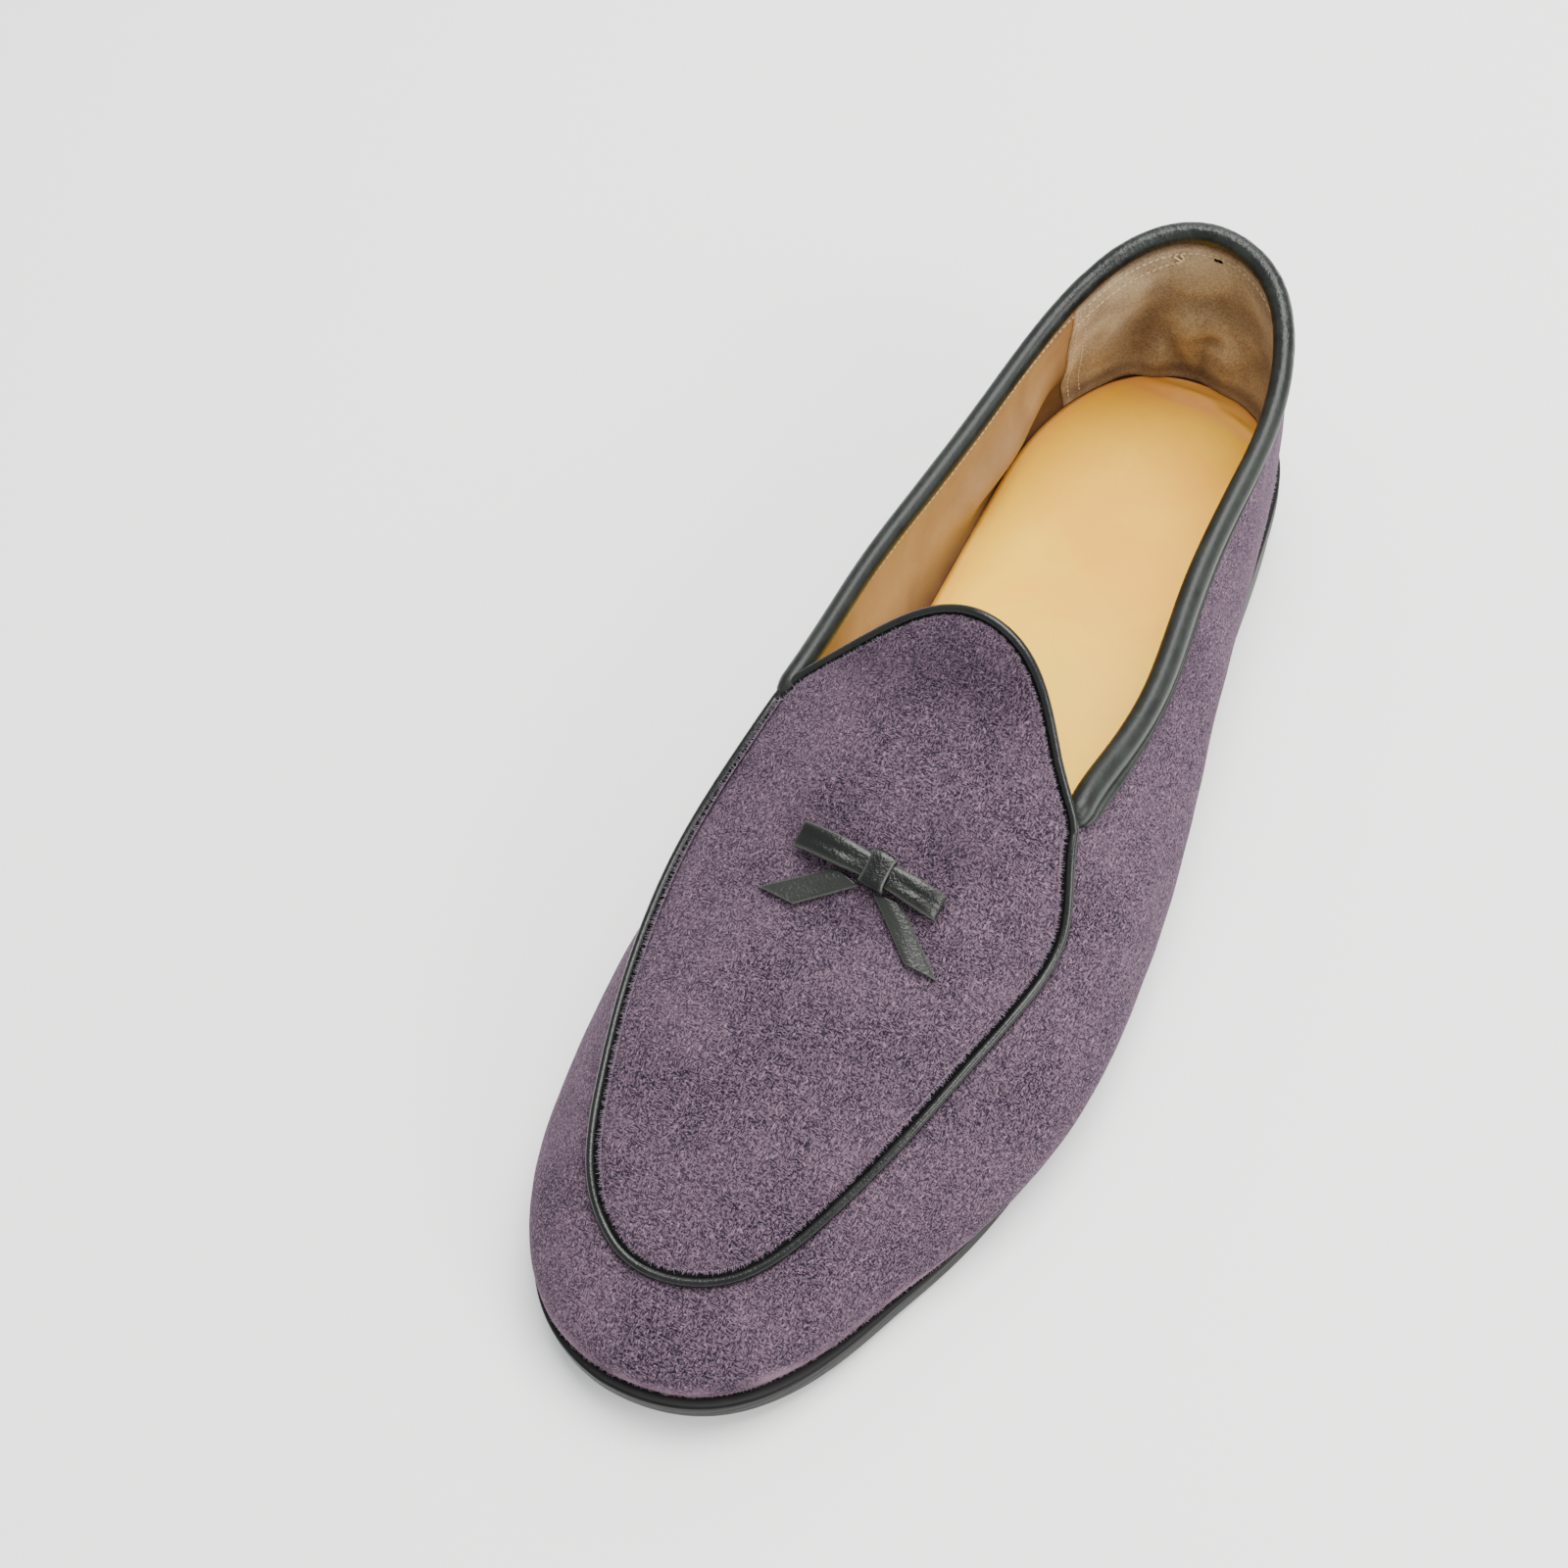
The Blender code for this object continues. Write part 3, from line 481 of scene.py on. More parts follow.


# Suede colours: the nap's deep, fibre and tip colours; the darkening of patches and painted shadow round the
# bow; painted shade at the seam; painted bounce light from the floor along the feather edge, and its reach
# up from the sole in mm.
SUEDE_DEEP, SUEDE_FIBRE, SUEDE_TIP = (0.0065, 0.0050, 0.0115), (0.118, 0.079, 0.108), (0.26, 0.17, 0.21)
PATCH_AND_SHADOW_DARK, SEAM_PAINTED_SHADE, FLOOR_BOUNCE_LIGHT = (0.22, 0.20, 0.25), (0.30, 0.27, 0.32), (0.27, 0.17, 0.225)
BOUNCE_LIGHT_REACH = 6.5


def nap(place):
    """Short suede fibres that lie every way: light along their tops, dark between them."""
    patches = place.cloud(0.0018, 1.0)
    first = place.turned((1150.0, 3900.0, 1950.0), (0.3, 0.2, 0.5)).cloud(1.0, 1.5, 0.6, 0.4)
    second = place.turned((3700.0, 1250.0, 1950.0), (-0.2, 0.4, 1.2)).cloud(1.0, 1.5, 0.6, 0.4)
    choice = patches.between(0.44, 0.56)
    streaks = first + choice * (second - first)
    return streaks * 0.75 + place.cloud(0.0004, 1.0) * 0.25


def suede_finish(name):
    """Napped suede with darker patches, painted shadow round the bow, painted bounce light from the floor
    along the feather edge, and painted shade where it dips to the apron seam.
    """
    suede = Finish(name, Roughness=0.95, Sheen_Weight=0.12, Sheen_Roughness=0.45,
                   Sheen_Tint=(0.85, 0.58, 0.80, 1.0), Specular_IOR_Level=0.06)
    fibres = nap(suede.place)
    brushed = suede.place.cloud(0.016, 3.0, 0.55)
    mottled = suede.place.cloud(0.0035, 2.0, 0.6)
    tips = suede.place.turned((1900.0, 900.0, 1200.0), (0.5, 0.1, 0.9)).cloud(1.0, 1.0)
    tips = tips.between(0.58, 0.68) * fibres.between(0.44, 0.54)
    shade = fibres.between(0.425, 0.575) * 0.80 + mottled.between(0.3, 0.7) * 0.08
    shade = shade + brushed.between(0.3, 0.7) * 0.18
    colour = shade.tint(SUEDE_DEEP, SUEDE_FIBRE)
    colour = (tips * 0.55).over(colour, SUEDE_TIP)
    # Darker patches and painted shadow round the bow, uneven with the brushed tone.
    tone_share = suede.attribute("patch_and_bow_shadow") * (1.25 - brushed * 0.5)
    colour = tone_share.over(colour, PATCH_AND_SHADOW_DARK, "MULTIPLY")
    # Painted bounce light from the floor: a pale pinkish band along the feather edge above the sole.
    bounce_light_edge = 1.0 - suede.attribute("from_sole").between(0.8, BOUNCE_LIGHT_REACH)
    colour = (bounce_light_edge * brushed.between(0.35, 0.60) * 0.65).over(colour, FLOOR_BOUNCE_LIGHT)
    # Painted shade where the suede dips into the apron seam.
    edge = suede.attribute("from_seam").between(0.7, 2.6)
    colour = (1.0 - edge).over(colour, SEAM_PAINTED_SHADE, "MULTIPLY")
    return suede.lay(colour, height=fibres * 0.00034 + mottled * 0.00006)


suede = suede_finish("purple_suede")
BACK_CLEAR = 0.05
NO_SEAM_SHADE = 1.2
back_depth = np.minimum(SUEDE_THICKNESS - relief, LINING_DEPTH - BACK_CLEAR)
suede_back = surface - surface_normals * back_depth[:, None]
vamp = leather_sheet("vamp_and_quarters", wall_faces, suede_face, suede_back, suede,
                     {"from_seam": np.maximum(seam, np.where(on_apron, 0.0, NO_SEAM_SHADE)),
                      "patch_and_bow_shadow": patch_and_bow_shadow, "from_sole": from_sole})
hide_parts("upper")

# Apron: a flat piece of the same suede that covers the top of the foot and ends in the free tab.
# Its cut edge is sewn down against the vamp, so it puckers a little at each stitch.
apron = leather_sheet("apron", apron_faces, suede_face, suede_back, suede,
                      {"from_seam": seam, "patch_and_bow_shadow": patch_and_bow_shadow, "from_sole": from_sole})
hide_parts("upper")

# Piping: a strip of thin black leather folded over a cord, caught in the apron seam and carried
# on round the free edge of the tab.
PIPING_RADIUS, PIPING_LIFT, PIPING_OUT = 1.05, 0.45, 0.25
PIPING_STEP = 0.0006
BINDING_SIDE, SEAM_SINK = 0.8, 0.1
TAB_WRAP, TAB_BEGINS, TAB_EASE = 0.9, -5.0, 8.0
APRON_HEART = np.array([0.0, -50.0, 50.0])


def sewing_tree(name, numbers, spacing):
    """Starts a Geometry Nodes tree: its named inputs, and its line cut into even steps."""
    tree = bpy.data.node_groups.new(name, "GeometryNodeTree")
    kinds = {"Line": "Geometry", "Seed": "Int", "Sides": "Int", "Material": "Material"}
    for word in ("Line", *numbers, "Material"):
        kind = "NodeSocket" + kinds.get(word, "Float")
        socket = tree.interface.new_socket(name=word, in_out="INPUT", socket_type=kind)
        if word in numbers:
            socket.default_value = numbers[word]
    tree.interface.new_socket(name="Pieces", in_out="OUTPUT", socket_type="NodeSocketGeometry")
    entry = tree.nodes.new("NodeGroupInput")
    given = {socket.name: Socket(tree, socket) for socket in entry.outputs if socket.name}
    line = given["Line"].node("GeometryNodeMeshToCurve", {"Mesh": given["Line"]})
    even = {"Curve": line, "Length": given[spacing]}
    return tree, given, line.node("GeometryNodeResampleCurve", even, mode="LENGTH")


def finish_tree(tree, pieces, given):
    """Ends a tree: real geometry, smooth, in its material."""
    real = pieces.node("GeometryNodeRealizeInstances", {"Geometry": pieces})
    smooth = real.node("GeometryNodeSetShadeSmooth", {"Geometry": real})
    dressed = smooth.node("GeometryNodeSetMaterial", {"Geometry": smooth, "Material": given["Material"]})
    out = tree.nodes.new("NodeGroupOutput")
    tree.links.new(dressed.socket, out.inputs[0])
    return tree


def run_tree(name, tree, line, numbers, finish, closed=False, aside=None):
    """Runs a tree on a line of points in millimetres and keeps the result as a plain mesh."""
    mesh = bpy.data.meshes.new(name)
    count = len(line)
    edges = [(i, (i + 1) % count) for i in range(count if closed else count - 1)]
    mesh.from_pydata(placed(line), edges, [])
    if aside is not None:
        layer = mesh.attributes.new("aside", "FLOAT_VECTOR", "POINT")
        layer.data.foreach_set("vector", np.asarray(aside, np.float32).reshape(-1))
    piece = set_down(name, mesh)
    growing = piece.modifiers.new(tree.name, "NODES")
    growing.node_group = tree
    for item in tree.interface.items_tree:
        if item.in_out == "INPUT" and item.name in numbers:
            growing[item.identifier] = numbers[item.name]
        elif item.name == "Material":
            growing[item.identifier] = finish
    bpy.context.view_layer.update()
    grown = piece.evaluated_get(bpy.context.evaluated_depsgraph_get())
    made = bpy.data.meshes.new_from_object(grown)
    piece.modifiers.remove(growing)
    piece.data = made
    if not made.materials:
        made.materials.append(finish)
    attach(piece, "root")
    return piece


def cord_tree():
    """A round covered cord along a line, with slight thick and thin places."""
    numbers = {"Radius": 0.001, "Step": 0.001, "Sides": 12, "Uneven": 0.05}
    tree, given, line = sewing_tree("covered_cord", numbers, "Step")
    place = line.node("GeometryNodeInputPosition")
    wobble = line.node("ShaderNodeTexNoise", {"Vector": place, "Scale": 220.0, "Detail": 1.0})
    radius = 1.0 + (wobble - 0.5) * 2.0 * given["Uneven"]
    line = line.node("GeometryNodeSetCurveRadius", {"Curve": line, "Radius": radius})
    sizes = {"Resolution": given["Sides"], "Radius": given["Radius"]}
    ring = line.node("GeometryNodeCurvePrimitiveCircle", sizes)
    ends = {"Curve": line, "Profile Curve": ring, "Fill Caps": True}
    return finish_tree(tree, line.node("GeometryNodeCurveToMesh", ends), given)


def black_leather(name, colour, roughness, grain=0.00004):
    """Fine-grained black leather with a grey-green bloom, rubbed pale where 'rim' rises to 1."""
    hide = Finish(name, Specular_IOR_Level=0.3, Coat_Roughness=0.16, Coat_Weight=0.10)
    pebbles = hide.place.cells(0.00055)
    fine = hide.place.cloud(0.0004, 3.0, 0.6)
    bloom = hide.place.cloud(0.006, 3.0, 0.6)
    wrinkles = hide.place.cloud(0.0008, 2.0, 0.6, 0.6)
    low, high = (tuple(part * share for part in colour) for share in (0.5, 1.5))
    shade = (bloom * 0.7 + pebbles * 0.3).between(0.25, 0.65).tint(low, high)
    rim = hide.attribute("rim") * (0.35 + fine)
    shade = (rim * 0.6).over(shade, (0.11, 0.115, 0.10))
    return hide.lay(shade, bloom * 0.16 + (roughness - 0.08) + rim * 0.15,
                    pebbles * grain + fine * grain * 0.6 + wrinkles * grain * 0.8)


seam_line = np.vstack([outer_run, inner_run[-2:0:-1]])
seam_at = np.concatenate([outer_at[:, 0], inner_at[-2:0:-1, 0]])
seam_up = surface_normals[seam_at]
seam_along = unit(np.roll(seam_line, -1, axis=0) - np.roll(seam_line, 1, axis=0))
seam_side = unit(np.cross(seam_along, seam_up))
to_apron = ((APRON_HEART - seam_line) * seam_side).sum(axis=1)
inner_side = np.sign(to_apron)[:, None] * seam_side
tab_wrap = TAB_WRAP * np.clip((seam_line[:, 1:2] - TAB_BEGINS) / TAB_EASE, 0.0, 1.0)

piping_leather = black_leather("piping_leather", (0.0035, 0.0042, 0.0038), 0.27)
cord = cord_tree()
piping_line = seam_line + seam_up * PIPING_LIFT + inner_side * (tab_wrap - PIPING_OUT)
piping = run_tree("apron_piping_leather", cord, piping_line,
                  {"Radius": PIPING_RADIUS * MM, "Step": PIPING_STEP, "Sides": 16, "Uneven": 0.10},
                  piping_leather, closed=True)
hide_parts("apron_piping")
seam_shade = Finish("black_seam_edge", Roughness=0.9, Specular_IOR_Level=0.05)
inked = seam_shade.place.cloud(0.0004, 1.0).tint((0.0015, 0.0017, 0.0016), (0.007, 0.008, 0.0075))
seam_edge = seam_shade.lay(inked)
# A near-black cord along the apron side of the piping: its black edge, with painted shade of the gap along
# it.
binding_line = seam_line + inner_side * (BINDING_SIDE + tab_wrap) - seam_up * SEAM_SINK
piping_edge_and_gap = run_tree("apron_piping_edge_and_gap_shade", cord, binding_line,
                   {"Radius": 0.00045, "Step": PIPING_STEP, "Sides": 10, "Uneven": 0.45},
                   seam_edge, closed=True)
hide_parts("apron_piping")

# Apron stitches: black waxed thread that crosses from the piping into the suede, one in each pucker.
# The cut suede edge between them and the feather edge above the sole are left with a loose nap.
STITCH_SIDE, NAP_SIDE = 1.15, 2.2
FEATHER_STEP = 2


def row_tree(name, axis, uneven, shape, sizes, **settings):
    """Repeats a shape along a line, its axis laid along the line, to its side and loosely round."""
    numbers = {"Pitch": 0.001, "Length": 0.001, "Thickness": 0.0005, "Along": 1.0, "Aside": 0.0,
               "Loose": 0.12, "Seed": 1}
    tree, given, points = sewing_tree(name, numbers, "Pitch")
    seed = given["Seed"]
    way = points.node("GeometryNodeInputTangent")
    aside = points.node("GeometryNodeInputNamedAttribute", {"Name": "aside"}, data_type="FLOAT_VECTOR")
    loose = points.node("FunctionNodeRandomValue", {0: (-1.0, -1.0, -1.0), 1: (1.0, 1.0, 1.0), "Seed": seed},
                        data_type="FLOAT_VECTOR")
    way = way.vector("SCALE", {"Scale": given["Along"]})
    way = way.vector("ADD", {1: aside.vector("SCALE", {"Scale": given["Aside"]})})
    way = way.vector("ADD", {1: loose.vector("SCALE", {"Scale": given["Loose"]})})
    turn = points.node("FunctionNodeAlignRotationToVector", {"Vector": way}, axis=axis)
    random = points.node("FunctionNodeRandomValue", {2: uneven[0], 3: uneven[1], "Seed": seed}, output=1)
    length, thick = given["Length"] * random, given["Thickness"]
    sides = (length, thick, thick) if axis == "X" else (thick, thick, length)
    size = points.node("ShaderNodeCombineXYZ", dict(enumerate(sides)))
    shape = points.node(shape, sizes, **settings)
    laid = {"Points": points, "Instance": shape, "Rotation": turn, "Scale": size}
    return finish_tree(tree, points.node("GeometryNodeInstanceOnPoints", laid), given)


stitches = row_tree("stitches", "X", (0.88, 1.1), "GeometryNodeMeshUVSphere",
                    {"Segments": 8, "Rings": 6, "Radius": 0.5})
fuzz = row_tree("fuzz", "Z", (0.4, 1.2), "GeometryNodeMeshCone",
                {"Vertices": 3, "Radius Top": 0.15, "Radius Bottom": 0.5, "Depth": 1.0}, fill_type="NONE")
run_tree("apron_stitches", stitches, seam_line + inner_side * (STITCH_SIDE + tab_wrap) - seam_up * SEAM_SINK,
         {"Pitch": APRON_STITCH * MM, "Length": 0.0020, "Thickness": 0.00085, "Aside": 0.75, "Seed": 4},
         seam_edge, closed=True, aside=inner_side)

FEATHER = wall_at[:, FEATHER_STEP]
NAPS = [
    ("apron_edge_nap", seam_line + inner_side * (NAP_SIDE + tab_wrap), seam_up * 0.5 - inner_side * 0.8,
     {"Pitch": 0.00011, "Length": 0.0013, "Thickness": 0.00013, "Loose": 0.8, "Seed": 9},
     "suede_fibre", (0.07, 0.04, 0.08), (0.24, 0.16, 0.23)),
    # The feather edge's fibres are coloured pale with painted bounce light from the floor.
    ("feather_edge_nap", suede_face[FEATHER], surface_normals[FEATHER] * 0.7,
     {"Pitch": 0.00016, "Length": 0.0006, "Thickness": 0.00012, "Loose": 0.9, "Seed": 12},
     "bounce_lit_suede_fibre", (0.16, 0.10, 0.14), (0.34, 0.23, 0.29)),
]
for name, line, way, sizes, finish_name, low, high in NAPS:
    fibre = Finish(finish_name, Roughness=0.9, Sheen_Weight=0.4)
    fibre_finish = fibre.lay(fibre.place.cloud(0.0006, 1.0).tint(low, high))
    run_tree(name, fuzz, line, {**sizes, "Along": 0.0, "Aside": 1.0}, fibre_finish,
             closed=True, aside=way)

# Collar roll: black leather wrapped round a soft filler and sewn over the topline. Under it the
# folded edge of the strip shows as a thin lip, widest where it meets the apron seam.
ROLL_OUT, ROLL_HEIGHT = 2.5, 2.7
ROLL_BELOW = math.radians(62.0)
ROLL_POINTS = 30
ROLL_END, ROLL_END_SHARE = 3.5, 0.5
HEEL_WRINKLE, WRINKLE_LENGTH, WRINKLE_FROM_Y, WRINKLE_EASE = 0.035, 2.6, 85, 40
LIP = [(INNER_THROAT, 2.0), (INNER_THROAT + 2, 1.6), (INNER_THROAT + 4, 0.6), (INNER_THROAT + 5.5, 0.1),
       (33.5, 0.1), (34.1, 1.1), (34.5, 1.0), (34.9, 0.1)]
ROLL_WIDER = [(INNER_THROAT, 1.0), (len(ROWS) + 2, 1.0), (len(ROWS) + 5.5, 1.14), (35, 1.14)]


def ring_faces(turns, count):
    """Faces between closed rings of `count` points that follow one another."""
    a = np.arange(turns - 1)[:, None] * count + np.arange(count)
    b = np.arange(turns - 1)[:, None] * count + (np.arange(count) + 1) % count
    return np.stack([b, a, a + count, b + count], axis=-1).reshape(-1, 4)


def lip_section(width):
    """The folded edge under the roll: out from the roll's last point, round and back."""
    x, z = round_part[-1]
    thick = 0.1 * min(width, 1.0)
    return [(x - 0.25, z - 0.12), (x - 0.55 - thick, z - 0.35 - 0.15 * width),
            (x - 0.6 - thick, z - 0.5 - 0.7 * width), (x - 0.25, z - 0.55 - 0.95 * width),
            (x + 0.5, z - 0.5 - 0.9 * width), (x + 0.9, z - 0.2)]


roll_rows = np.arange(INNER_THROAT * SPLITS + 1, columns + OUTER_THROAT * SPLITS - 1)
roll_at = roll_rows % columns
roll_path = collar_edge[roll_at]
roll_along = unit(np.gradient(roll_path, axis=0))
roll_side = unit(np.cross(roll_along, wall_climb[roll_at]))
roll_rise = unit(np.cross(roll_side, roll_along))
roll_length = lengths(roll_path)
angles = np.linspace(-ROLL_BELOW, math.pi + ROLL_BELOW, ROLL_POINTS)
round_part = np.column_stack([ROLL_OUT * np.cos(angles), ROLL_HEIGHT * np.sin(angles)])
lip_part = np.array([lip_section(width) for width in np.interp(roll_rows / SPLITS, *zip(*LIP))])
roll_sections = np.concatenate([np.tile(round_part, (len(roll_rows), 1, 1)), lip_part], axis=1)
from_end = np.minimum(roll_length, roll_length[-1] - roll_length)
swell = ROLL_END_SHARE + (1 - ROLL_END_SHARE) * np.clip(from_end / ROLL_END, 0.0, 1.0) ** 0.6
swell = swell * (1 + 0.03 * waves_at(roll_path, 14.0, 5.0))
swell = swell * np.interp(roll_rows / SPLITS, *zip(*ROLL_WIDER))
heel_turn = np.clip((roll_path[:, 1] - WRINKLE_FROM_Y) / WRINKLE_EASE, 0.0, 1.0)
swell = swell * (1 + HEEL_WRINKLE * heel_turn * waves_at(roll_path, WRINKLE_LENGTH, 9.0))
roll_sections = roll_sections * swell[:, None, None]
section_size = roll_sections.shape[1]
round_share = np.append(np.linspace(0.0, 1.0, ROLL_POINTS), np.ones(section_size - ROLL_POINTS))
roll_points = (roll_path[:, None] + roll_sections[..., :1] * roll_side[:, None]
               + roll_sections[..., 1:] * roll_rise[:, None]).reshape(-1, 3)


def roll_finish():
    """Smooth matt black leather, wrinkled across where it turns round the heel, with painted shade along its
    inner edge and a painted reflection of the floor along its lower outer edge.
    """
    hide = Finish("roll_leather", Specular_IOR_Level=0.27, Coat_Weight=0.06, Coat_Roughness=0.2)
    pebbles = hide.place.cells(0.0006)
    fine = hide.place.cloud(0.0004, 3.0, 0.6)
    bloom = hide.place.cloud(0.007, 3.0, 0.6)
    heel = hide.place.node("ShaderNodeSeparateXYZ", {0: hide.place}, output=1).between(0.095, 0.14)
    wrinkles = hide.place.turned((420.0, 420.0, 160.0)).cloud(1.0, 3.0, 0.65)
    colour = bloom.between(0.3, 0.7).tint((0.0045, 0.0056, 0.0048), (0.012, 0.0155, 0.0125))
    section = hide.attribute("section")
    # Painted shade along the roll's inner edge.
    colour = (1.0 - section.between(0.02, 0.26)).over(colour, (0.25, 0.25, 0.25), "MULTIPLY")
    # Painted reflection of the bright floor: a pale line along the roll's lower outer edge.
    floor_reflection_line = section.between(0.80, 0.87) * (1.0 - section.between(0.89, 0.95))
    colour = (floor_reflection_line * 0.30).over(colour, (0.07, 0.08, 0.07))
    height = pebbles * 0.00005 + fine * 0.00003 + heel * wrinkles * 0.00050
    return hide.lay(colour, bloom * 0.2 + 0.24 + (1.0 - heel) * 0.10, height)


last_point = len(roll_points) - 1
roll_faces = ring_faces(len(roll_rows), section_size)
roll = shoe_piece("collar_roll_leather", roll_points, roll_faces, roll_finish(),
                  {"section": np.tile(round_share, len(roll_rows))},
                  ends=[range(section_size), range(last_point, last_point - section_size, -1)])
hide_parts("collar_roll")

# Lining: natural tan leather inside the whole upper, closed over the toe and turned up under the
# collar roll. A foot has pressed swells and folds into it, most of all at the heel.
LEAST_LINING = 0.2

# Swells and dents of the lining, into the shoe where the height is above zero.
LINING_FOLDS = [
    Fold("inner quarter bulge", -34, 92, 36, 0.1, 1, 0.1, 24, 8.5, 6.0),
    Fold("inner quarter crease", -33, 104, 21, 0.1, 1, 0.5, 16, 3.5, -2.0),
    Fold("inner quarter hollow", -33, 30, 30, 0, 1, 0, 22, 7, -0.6),
    Fold("grip fold to the inner side", -14, 139, 38, -0.23, -0.09, -0.97, 17, 4, -2.6),
    Fold("grip swell inner", -22, 131, 36, 0, 0.2, 1, 13, 6, 2.4),
    Fold("grip swell low", -11.5, 141, 28, 0.2, 0, 1, 7, 3.4, 3.4),
    Fold("grip fold middle", -7, 142.4, 30, 0.3, 0.07, -0.93, 9, 2.2, -2.6),
    Fold("grip swell middle", -2.5, 143, 40, 0.25, 0, 1, 9, 5, 3.6),
    Fold("grip pit", 2.2, 143.4, 37, 1, 0, 0.3, 3.5, 2, -3.4),
    Fold("grip fold under the pit", 0, 143.4, 27, 0.1, 0, 1, 7, 1.7, -2.2),
    Fold("grip swell outer", 7, 143, 32, 0.1, 0, 1, 9, 4.5, 2.8),
    Fold("grip hollow high", 6, 142.5, 50, 1, -0.1, 0.2, 11, 4, -1.4),
    Fold("grip swell side", 24, 128, 32, 0.3, -0.3, 1, 8, 5, 2.0),
    Fold("grip fold to the outer side", 18, 136, 40, 0.5, -0.3, 1, 10, 2.6, -1.6),
]
lining_relief = folds_at(surface, LINING_FOLDS) + 0.3 * waves_at(surface, 16.0, 12.0)
lining_depth = np.maximum(WALL + lining_relief, LINING_DEPTH + LEAST_LINING)
lining_face = surface - surface_normals * lining_depth[:, None]
lining_back = surface - surface_normals * LINING_DEPTH


def tan_leather(name, low, high, shadow, roughness, crease=0.0):
    """Natural vegetable-tanned leather: fine pores, cloudy tone and faint creases, darkened by painted shade
    where its shade attribute says.
    """
    hide = Finish(name, Specular_IOR_Level=0.35)
    tone = hide.place.cloud(0.03, 4.0, 0.6, 0.5)
    pores = hide.place.cells(0.0008)
    fine = hide.place.cloud(0.0005, 3.0, 0.65)
    veins = hide.place.turned((34.0, 12.0, 30.0), (0.0, 0.0, 0.5)).cloud(1.0, 2.0, 0.5, 0.3)
    line = 1.0 - abs(veins - 0.5).between(0.0, 0.008)
    shade = (tone * 0.8 + fine * 0.2).between(0.3, 0.7).tint(low, high)
    shade = (line * 0.2 * crease).over(shade, tuple(0.75 * part for part in low))
    shade = hide.attribute("painted_shade").over(shade, shadow, "MULTIPLY")
    return hide.lay(shade, tone * 0.15 + (roughness - 0.07),
                    pores * 0.00003 + fine * 0.00003 - line * 0.00005 * crease)


LINING_SHADE_FROM, LINING_SHADE_OVER, TOPLINE_SHADE = 20.0, 15.0, 2.6
lining_leather = tan_leather("lining_leather", (0.25, 0.145, 0.068), (0.39, 0.245, 0.120),
                             (0.30, 0.26, 0.30), 0.5)
# Painted shade on the lining: darker lower down the wall, and in a thin band under the roll.
shaded = np.maximum((wall_down - LINING_SHADE_FROM) / LINING_SHADE_OVER, TOPLINE_SHADE - wall_down)
painted_shade = np.zeros(len(surface))
painted_shade[wall_at] = np.clip(shaded, 0.0, 1.0)
lining = leather_sheet("lining", upper_faces[:, ::-1], lining_face, lining_back, lining_leather,
                       {"painted_shade": painted_shade})
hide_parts("upper")

# Heel grip: brown reversed leather sewn over the lining at the heel, nap outwards, so that the shoe
# holds. It follows the lining's folds, with painted shade where they are deep, under the roll, near its foot
# and on its outer side.
GRIP_START, GRIP_SLANT, GRIP_END = 26.05, 0.25, 30.9
GRIP_THICKNESS, GRIP_UNDER = 0.45, 0.1
GRIP_ACROSS = 150
GRIP_BOTTOM_STEP, GRIP_DARK_STEP = 3, 6.0
GRIP_LOW, GRIP_HIGH = (0.225, 0.168, 0.104), (0.52, 0.430, 0.285)


def on_lining(rows, steps, lift):
    """Points `lift` above the lining at broken rows and steps of the wall, and the way up from it."""
    rows, steps, lift = np.broadcast_arrays(rows, steps, lift)
    first_column = np.floor(rows * SPLITS).astype(int)
    first_step = np.minimum(np.floor(steps).astype(int), WALL_STEPS - 1)
    column_part = (rows * SPLITS - first_column)[..., None]
    step_part = (steps - first_step)[..., None]
    spots, ups = 0.0, 0.0
    for column, column_share in ((0, 1 - column_part), (1, column_part)):
        for step, step_share in ((0, 1 - step_part), (1, step_part)):
            at = wall_at[(first_column + column) % columns, first_step + step]
            spots = spots + lining_face[at] * column_share * step_share
            ups = ups - surface_normals[at] * column_share * step_share
    return spots + ups * lift[..., None], unit(ups)


def grip_finish():
    """Brown reversed leather, napped and greasy in places, with painted shade on its outer side and where
    its shade attribute says.
    """
    hide = Finish("heel_grip_suede", Roughness=0.95, Sheen_Weight=0.15, Specular_IOR_Level=0.1)
    fibres = hide.place.cloud(0.0006, 3.0, 0.65)
    greasy = hide.place.cloud(0.011, 2.0, 0.5)
    shade = fibres.between(0.36, 0.64) * 0.5 + greasy.between(0.35, 0.68) * 0.5
    colour = shade.tint(GRIP_LOW, GRIP_HIGH)
    # Painted shade on the grip's outer side, where the outer wall keeps the light off.
    outer = hide.place.node("ShaderNodeSeparateXYZ", {0: hide.place}).between(0.002, 0.022)
    colour = (outer * 0.8).over(colour, (0.42, 0.36, 0.34), "MULTIPLY")
    colour = hide.attribute("painted_shade").over(colour, (0.30, 0.25, 0.22), "MULTIPLY")
    return hide.lay(colour, height=fibres * 0.00014 + greasy * 0.0003)


grip_steps = np.arange(GRIP_BOTTOM_STEP, WALL_STEPS + 1.0)
front_row = GRIP_START + GRIP_SLANT * (1 - grip_steps / WALL_STEPS)
grip_rows = front_row + (GRIP_END - front_row) * np.linspace(0.0, 1.0, GRIP_ACROSS + 1)[:, None]
grip_face, grip_back = (on_lining(grip_rows, grip_steps, lift)[0].reshape(-1, 3)
                        for lift in (GRIP_THICKNESS, -GRIP_UNDER))
grip_faces = grid_faces(GRIP_ACROSS + 1, len(grip_steps) - 1, 0, False, True)
